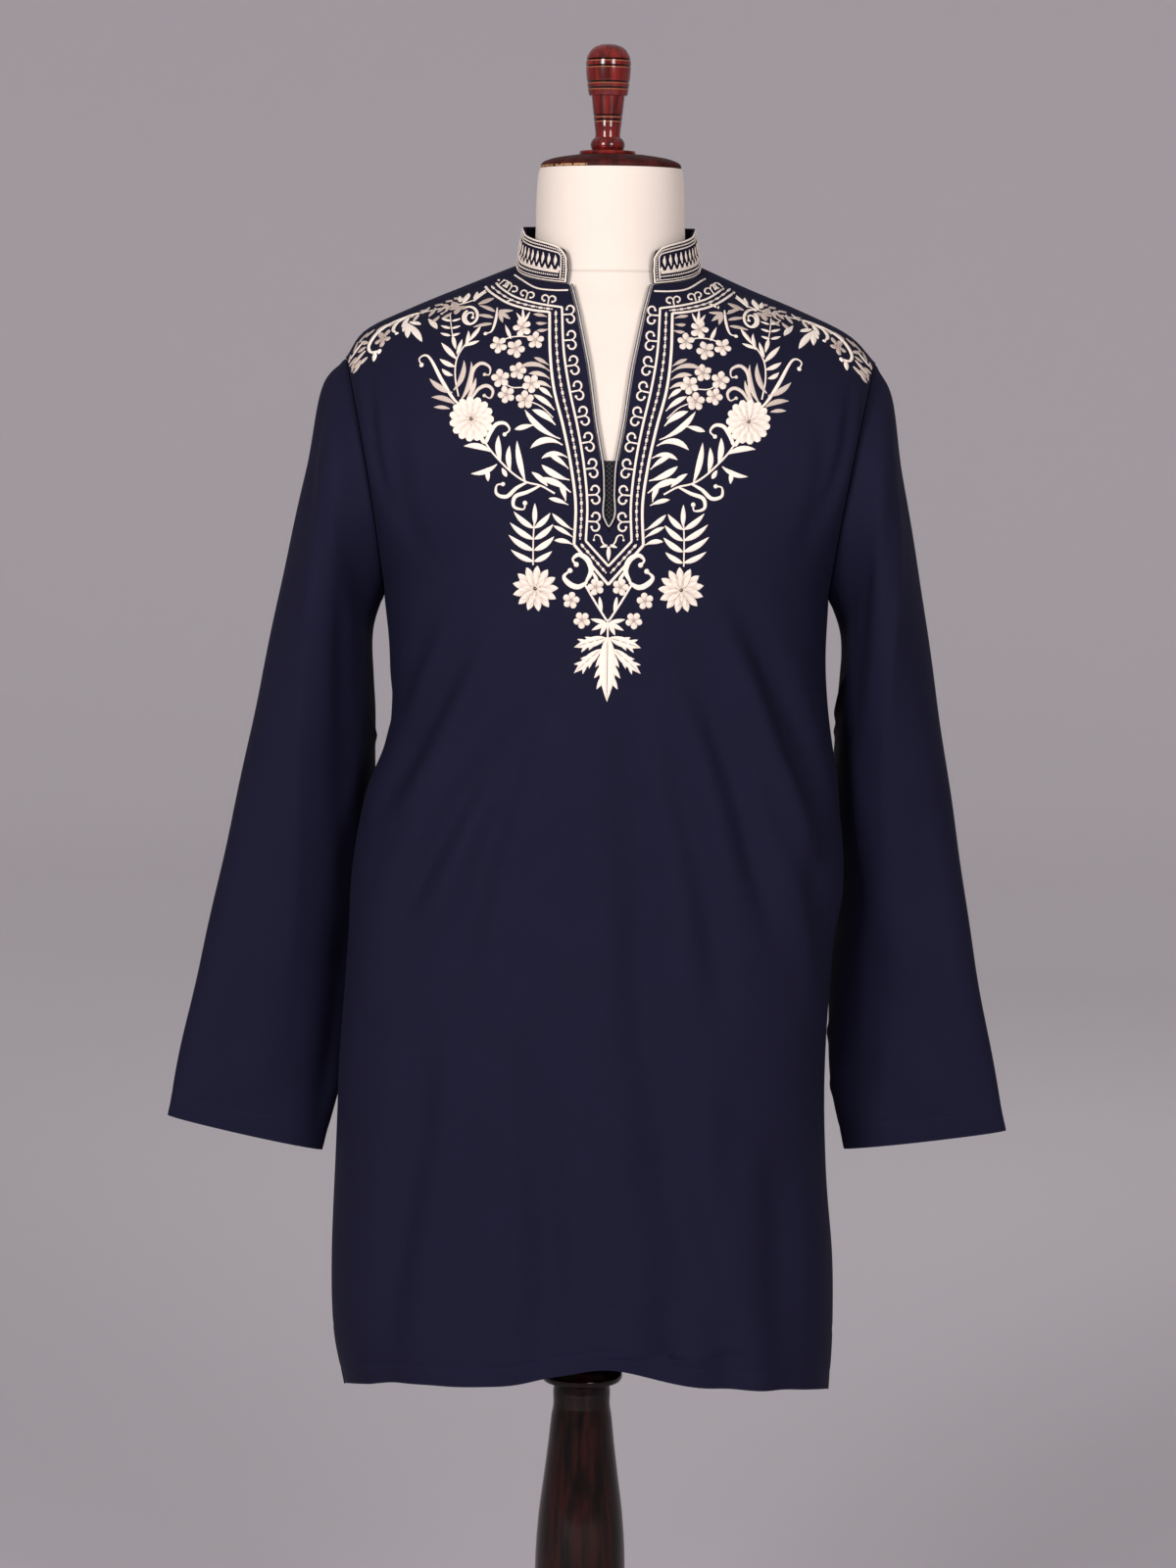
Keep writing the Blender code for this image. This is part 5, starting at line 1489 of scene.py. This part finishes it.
# the shoulder: across and down from the seam as seen from the front; base, tip, width and tone
shoulderLeaves = (
    ((200, 10), (207, 4), 4.6, 0.75), ((202, 12), (209, 11), 4.6, 0.85), ((205, 6), (215, 8), 4.4, 0.2),
    ((209, 3), (201, 0.6), 4.6, 0.9), ((203, 3.4), (196, 0.8), 4.6, 0.9), ((194, 3), (186, 1), 4.6, 0.9),
    ((202, 15), (214, 17), 5, 0.6), ((200, 21.5), (210, 22.5), 5, 0.7), ((210, 14), (216, 12.5), 4.6, 0.85),
    ((206, 20), (212, 20.5), 4.4, 0.85), ((206, 23), (212, 24.5), 4.8, 0.7),
    ((212.5, 17), (213.5, 21.5), 4.2, 0.85), ((213, 6), (210, 1.4), 4.2, 0.9),
    ((216.5, 9), (215.5, 4), 4, 0.85), ((194, 20), (194.5, 28), 6, 0), ((172, 9), (167, 1.5), 5.6, 0),
    ((168, 7), (166.5, 20), 6.4, 0), ((167, 8), (154, 28), 6.4, 0), ((166, 7), (156, 13), 5.4, 0),
    ((169, 7), (171, 13), 4.4, 0.05), ((150, 11), (142, 22), 5.6, 0.2), ((141, 12), (148, 15), 5.2, 0.9),
    ((131, 13), (139, 15), 5.2, 0.95), ((145, 3.5), (150, 9), 5.2, 0.9), ((137, 5), (143, 8), 5.2, 0.95),
    ((139, 2.4), (146, 0.9), 4.6, 0.9), ((131, 2.6), (137, 0.9), 4.6, 0.9),
    ((125, 3), (130, 0.9), 4.6, 0.9), ((152, 2.6), (158, 0.9), 4.6, 0.9),
    ((163, 3.4), (170, 1.2), 4.6, 0.85), ((175, 3.4), (181, 1.2), 4.6, 0.9),
    ((183, 4), (178, 1), 4.2, 0.85), ((125.4, 10), (131.5, 3.5), 7, 0.95),
    ((125.4, 10), (133.5, 8.6), 7, 0.95), ((125.4, 10), (127.4, 15.5), 7, 0.95),
    ((125.4, 10), (119, 14), 6.4, 0.95), ((121.5, 8.5), (117.6, 1.5), 7.4, 0),
    ((124, 6.4), (125.4, 1), 4.6, 0.1), ((113, 10), (103.5, 4), 6, 0.1), ((112, 10), (110.5, 3), 5, 0.1),
    ((109, 14), (96, 14), 8.4, 0.95), ((159, 2.4), (163, 8), 4.6, 0.6), ((156, 4), (150, 1), 4.4, 0.7),
)


def sewShoulder(side):
    work = newWork()
    satinLine(work, ((103, 6), (113, 9), (126, 8), (138, 6), (150, 4), (159, 2.4)), 2.0, 2.0, 0.45, 0.35)
    ballCurl(work, ((159, 2.4), (168, 1.4), (179, 1.6), (188, 3), (195, 6.5), (199.5, 13), (197, 19),
                    (190, 21.5)), 4.4, 2.6, 0.0, 0.9)
    ballCurl(work, ((170, 2), (177, 3.5), (179.5, 8), (176, 12.5)), 3.4, 2.0, 0.0, 0.7)
    ballCurl(work, ((140, 3), (136, 4.5), (135, 9), (139, 10.5)), 3.2, 1.9, 0.85)
    blossom(work, (187.5, 12), 6.6, 0.2, 0.75)
    for base, tip, width, tone in shoulderLeaves:
        leaf(work, base, tip, width, 0.05, tone, 0.65, 0.5)
    return layWork(work, placeUnderSeam(side), "shoulderStitching" + side.capitalize())


def sewPendant():  # on the middle line, below the point of the border
    work = newWork()
    satinLine(work, ((0, 1150), (0, 1132)), 1.8, 3.0, 0.5, 0.05)
    veinedLeaf(work, (0, 1137), (0, 1083), 15.0, 0.0, 0.02, 0.85)
    for height, reach in ((1116, 9.5), (1107, 10.5), (1098, 8.5)):
        for sign in (-1.0, 1.0):
            leaf(work, (sign * 1.5, height + 8), (sign * reach, height - 5), 5.0, 0.0, 0.02, 0.7)
    leaf(work, (0, 1209), (0, 1197), 4.0, 0.0, 0.1)
    return layWork(work, placeOnFront("right"), "pendantStitching")


def sewCollar():
    work = newWork()
    total, top = collarLength, collarCut["height"] * 1000.0

    def edgeLine(inset, foot):  # up the front end, round its corner, along the top and down the other end
        corner = 10.0
        turn = np.linspace(0.0, math.pi / 2.0, 6)
        reach = corner - inset
        start = [(inset, foot), (inset, (foot + top - corner) / 2.0)]
        bend = [(corner - reach * math.cos(angle), top - corner + reach * math.sin(angle)) for angle in turn]
        level = [(value, top - inset) for value in np.linspace(corner + 6.0, total / 2.0, 44)]
        half = np.array(start + bend + level)
        other = half[::-1][1:].copy()
        other[:, 0] = total - other[:, 0]
        return np.concatenate([half, other])

    satinRun(work, edgeLine(1.0, 0.5), 0.85, 0.5, 0.15)
    satinRun(work, edgeLine(6.0, 3.6), 0.62, 0.45, 0.15)
    for place in evenPath(edgeLine(3.5, 4.0), 2.3):
        dot(work, place, 0.85, 0.55, 0.2, 5)
    for height, width in ((0.9, 1.1), (2.7, 0.9)):
        line = [(value, height) for value in np.linspace(1.0, total - 1.0, 110)]
        satinRun(work, line, width / 2.0, 0.45, 0.15)
    for value in np.arange(8.0, total - 7.0, 2.3):
        dot(work, (value, 5.6), 0.85, 0.55, 0.15, 5)
    satinRun(work, [(value, 9.0) for value in np.linspace(7.5, total - 7.5, 100)], 1.5, 0.5, 0.3)
    count = int((total - 17.0) / 7.0)
    for number in range(count + 1):
        along = 8.5 + (total - 17.0) * number / count
        share = np.linspace(0.0, 1.0, 4)
        satinRun(work, [(along, 10.2 + 3.8 * value) for value in share], 2.9 * (1.0 - share), 0.5, 0.3)
        if number < count:
            middle = along + (total - 17.0) / count / 2.0
            peak = 22.8 if 12.0 < middle < total - 12.0 else 20.8
            satinRun(work, [(middle, value) for value in np.linspace(13.6, peak, 7)],
                     1.95 * np.array([0.1, 0.35, 0.85, 1.0, 0.85, 0.35, 0.1]), 0.6, 0.3)
    return layWork(work, placeOnCollar, "collarStitching")


frontStitching = [
    sewChest("left"), sewChest("right"), sewShoulder("left"), sewShoulder("right"), sewPendant(),
]
collarStitching = sewCollar()
print("embroidery sewn")


# hem and cuff stitching

dashes = {"step": 0.0021, "width": 0.45, "lift": 0.22, "hem": 0.0150, "cuff": 0.0200}


def lineAbove(points, height):  # the line a given way up the cloth from its lower edge, top row first
    rows = points[::-1]
    found = []
    for column in range(rows.shape[1]):
        line = rows[:, column]
        length = runLength(line)
        found.append([np.interp(height, length, line[:, axis]) for axis in range(3)])
    return np.array(found)


def dashRow(points, height, tree, name):
    work = newWork()
    spots = evenPath(lineAbove(points, height), dashes["step"])
    for number in range(2, len(spots) - 2, 2):
        first, second = spots[number], spots[number + 1]
        satinRun(work, [first, (first + second) / 2.0, second], dashes["width"] / 2.0, dashes["lift"], 0.0)

    def place(points):
        spot, normal = np.zeros((len(points), 3)), np.zeros((len(points), 3))
        for number, point in enumerate(points):
            found = tree.find_nearest(Vector(point))
            spot[number], normal[number] = found[0], found[1]
        return spot, normal
    return layWork(work, place, name, navyThread)


frontHem = dashRow(frontPoints, dashes["hem"], frontTree, "frontHemStitching")
backHem = dashRow(backPoints, dashes["hem"], backTree, "backHemStitching")
cuffLeft = dashRow(sleeveLeftPoints, dashes["cuff"], sleeveLeftTree, "cuffStitchingLeft")
cuffRight = dashRow(sleeveRightPoints, dashes["cuff"], sleeveRightTree, "cuffStitchingRight")
print("hems stitched")


# turned wood: radius and height from the top down, in millimetres

turnedPieces = {
    "finialKnob": {
        "look": "lacqueredRedWood", "slot": "lacquered_red_wood", "node": "finial",
        "centre": (10.8, -2), "sides": 72, "rings": (
            (1.2, 1619), (6.2, 1618.7), (11.5, 1616.8), (14.8, 1614), (16.8, 1610.8), (18.1, 1608),
            (18.4, 1606.9), (17.7, 1606.2), (18.6, 1605.4), (18.8, 1601.6), (18.1, 1600.8), (18.8, 1600),
            (18, 1590), (17.7, 1588.6), (17, 1587.8), (17.6, 1587.1), (17.2, 1583.6), (16.6, 1582.8),
            (17.1, 1582), (16.3, 1578), (15.8, 1576.7), (13.7, 1576.2), (13.4, 1573), (13, 1569),
            (12.5, 1564), (12.2, 1561.1), (11.6, 1560.4), (12, 1559.7), (11.8, 1557.2), (11.3, 1556.6),
            (11.6, 1555.9), (10.8, 1550), (10.3, 1545), (10.5, 1542.5), (12.4, 1541), (13.9, 1538.6),
            (14.4, 1536.2), (13.9, 1533.8), (12.8, 1532.4), (19, 1531.6), (23.1, 1531.1), (23.6, 1529.8),
            (23.3, 1528.4))},
    "neckCap": {
        "look": "lacqueredCap", "slot": "lacquered_red_wood", "node": "neck_cap",
        "centre": (13.7, -4), "sides": 96, "rings": (
            (23.2, 1528.1), (30, 1527.7), (40, 1526.3), (46, 1525.2), (50, 1524.2), (53.5, 1523),
            (56, 1521.8), (57.7, 1520.5), (58.5, 1519), (58.6, 1517.9), (58.3, 1517.2), (57.8, 1516.8))},
    "postSocket": {
        "look": "darkTurnedWood", "slot": "dark_turned_wood", "node": "post_socket",
        "centre": (0, 0), "sides": 72, "rings": (
            (49, 659.7), (50, 659), (50, 650), (49, 648.8), (30, 642.5), (24, 641.2), (23.4, 620),
            (23.2, 570), (23, 520), (23.3, 509), (26.2, 501), (30, 496), (33, 494.2), (34.5, 492.6),
            (34.9, 490.6), (34.6, 488.4), (33.4, 486.6), (30, 485.8), (23.8, 484.3))},
    "turnedPost": {
        "look": "darkTurnedWood", "slot": "dark_turned_wood", "node": "post",
        "centre": (0, 0), "sides": 80, "rings": (
            (22.8, 484), (23.6, 483.6), (24.5, 478), (24.6, 475), (24.3, 468), (24.5, 463), (25.8, 456),
            (26.8, 447), (28.2, 433), (30.2, 416), (32.2, 400), (34.3, 384), (36.2, 368), (37.7, 350),
            (38.6, 333), (39, 316), (38.8, 300), (37.9, 280), (36.5, 260), (34.6, 235), (32.5, 210),
            (30.4, 180), (29, 150), (28.4, 124), (28.5, 100), (29.5, 86), (31, 75.5), (31.3, 73.5),
            (30.2, 70.2), (33, 67.2), (40, 63), (44, 60), (46.8, 55), (48, 50), (48, 45), (47, 40),
            (45, 34.5), (42, 30.3))},
    "roundFoot": {
        "look": "darkTurnedWood", "slot": "dark_turned_wood", "node": "stand_base",
        "centre": (0, 0), "sides": 128, "rings": (
            (60, 30), (70, 29.9), (120, 28.7), (170, 27), (176, 26.6), (179, 25.4), (182, 24.8), (188, 23),
            (193, 20.4), (197, 17), (199.2, 14), (200, 11), (199.9, 7), (199, 4), (197.8, 1.2), (196, 0))},
}


def turnPiece(name, turning):
    x, y = (value / 1000.0 for value in turning["centre"])
    rings = [(radius / 1000.0, height / 1000.0) for radius, height in turning["rings"]]
    pick(None)
    bpy.ops.mesh.primitive_circle_add(
        vertices=turning["sides"], radius=rings[0][0], fill_type="NGON", location=(x, y, rings[0][1]))
    piece = bpy.context.object
    piece.name = name
    piece.data.name = name
    bpy.ops.object.mode_set(mode="EDIT")
    bpy.ops.mesh.select_all(action="SELECT")
    for (wasRadius, wasHeight), (radius, height) in zip(rings[:-1], rings[1:]):
        bpy.ops.mesh.extrude_region_move(TRANSFORM_OT_translate={"value": (0.0, 0.0, height - wasHeight)})
        share = radius / wasRadius
        bpy.ops.transform.resize(value=(share, share, 1.0), center_override=(x, y, height))
    editMesh(piece, faceOutward)
    bpy.ops.object.transform_apply(location=True, rotation=True, scale=True)
    finishPiece(piece, woods[turning["look"]], [turning["node"]], angle=32.0)


for name, turning in turnedPieces.items():
    turnPiece(name, turning)
print("wood turned")


# floor, backdrop and light

studio = {
    "grey": (0.74, 0.69, 0.715, 1.0), "near": (0.42, 0.385, 0.41, 1.0),
    "radius": 11.0, "bend": 4.0, "height": 9.0, "world": 0.48,
    "lamps": (
        {"place": (-1.9, -3.3, 2.2), "aim": (0.0, 0.0, 1.15), "size": (1.0, 1.8), "watts": 152.0},
        {"place": (1.7, -3.5, 2.1), "aim": (0.0, 0.0, 1.15), "size": (1.0, 1.8), "watts": 100.0},
        {"place": (0.8, 3.3, 3.2), "aim": (0.0, 0.0, 1.15), "size": (1.6, 1.6), "watts": 30.0, "soft": True},
    ),
}


def buildStudio():
    material, tree, shader = newMaterial("greyPaper", {"Roughness": 0.95, "Specular IOR Level": 0.1})
    place = placeOf(tree, "Object")
    away = addNode(tree, "VectorMath", {"operation": "LENGTH"}, {0: place}).outputs[1]
    # painted shade: the paper is darker near the stand and grades to the plain grey by 7 m
    share = spread(tree, away, 0.5, 7.0)
    cloud = times(tree, noise(tree, place, 0.35), 0.08)
    colour = mixColour(tree, share, studio["near"], studio["grey"])
    tree.links.new(mixColour(tree, cloud, colour, studio["near"]), shader.inputs["Base Color"])
    radius, bend, height = studio["radius"], studio["bend"], studio["height"]
    profile = [(0.02, 0.0), (0.5, 0.0), (1.5, 0.0), (3.5, 0.0), (radius - bend, 0.0)]
    profile += [(radius - bend + bend * math.sin(turn), bend - bend * math.cos(turn))
                for turn in np.linspace(0.0, math.pi / 2.0, 17)[1:]]
    profile += [(radius, height)]
    profile = np.array(profile)
    turn = np.linspace(0.0, 2.0 * math.pi, 97)
    points = np.stack([profile[:, :1] * np.cos(turn), profile[:, :1] * np.sin(turn),
                       profile[:, 1:] * np.ones(turn.shape)], axis=-1)
    points[:, -1] = points[:, 0]
    floor = gridPiece("studioFloor", points[:, ::-1])
    editMesh(floor, mergeTwins)
    floor.data.materials.append(material)
    floor.data.shade_smooth()
    world = bpy.data.worlds.new("softRoom")
    bpy.context.scene.world = world
    world.use_nodes = True
    background = world.node_tree.nodes["Background"]
    background.inputs["Color"].default_value = (0.97, 0.975, 1.0, 1.0)
    background.inputs["Strength"].default_value = studio["world"]
    for number, lamp in enumerate(studio["lamps"]):
        data = bpy.data.lights.new("softbox%d" % number, "AREA")
        data.shape = "RECTANGLE"
        data.size, data.size_y = lamp["size"]
        data.energy = lamp["watts"]
        light = addObject("softbox%d" % number, data)
        light.location = lamp["place"]
        light.visible_glossy = not lamp.get("soft", False)
        aim = Vector(lamp["aim"]) - Vector(lamp["place"])
        light.rotation_euler = aim.to_track_quat("-Z", "Y").to_euler()


buildStudio()
print("studio lit")


# what each sheet was cut to

for piece in (kurtaFront, kurtaBack, sleeveLeft, sleeveRight, standCollar, netPlacket):
    print("cloth", piece.name, "area", round(sum(face.area for face in piece.data.polygons) / 2.0, 4))
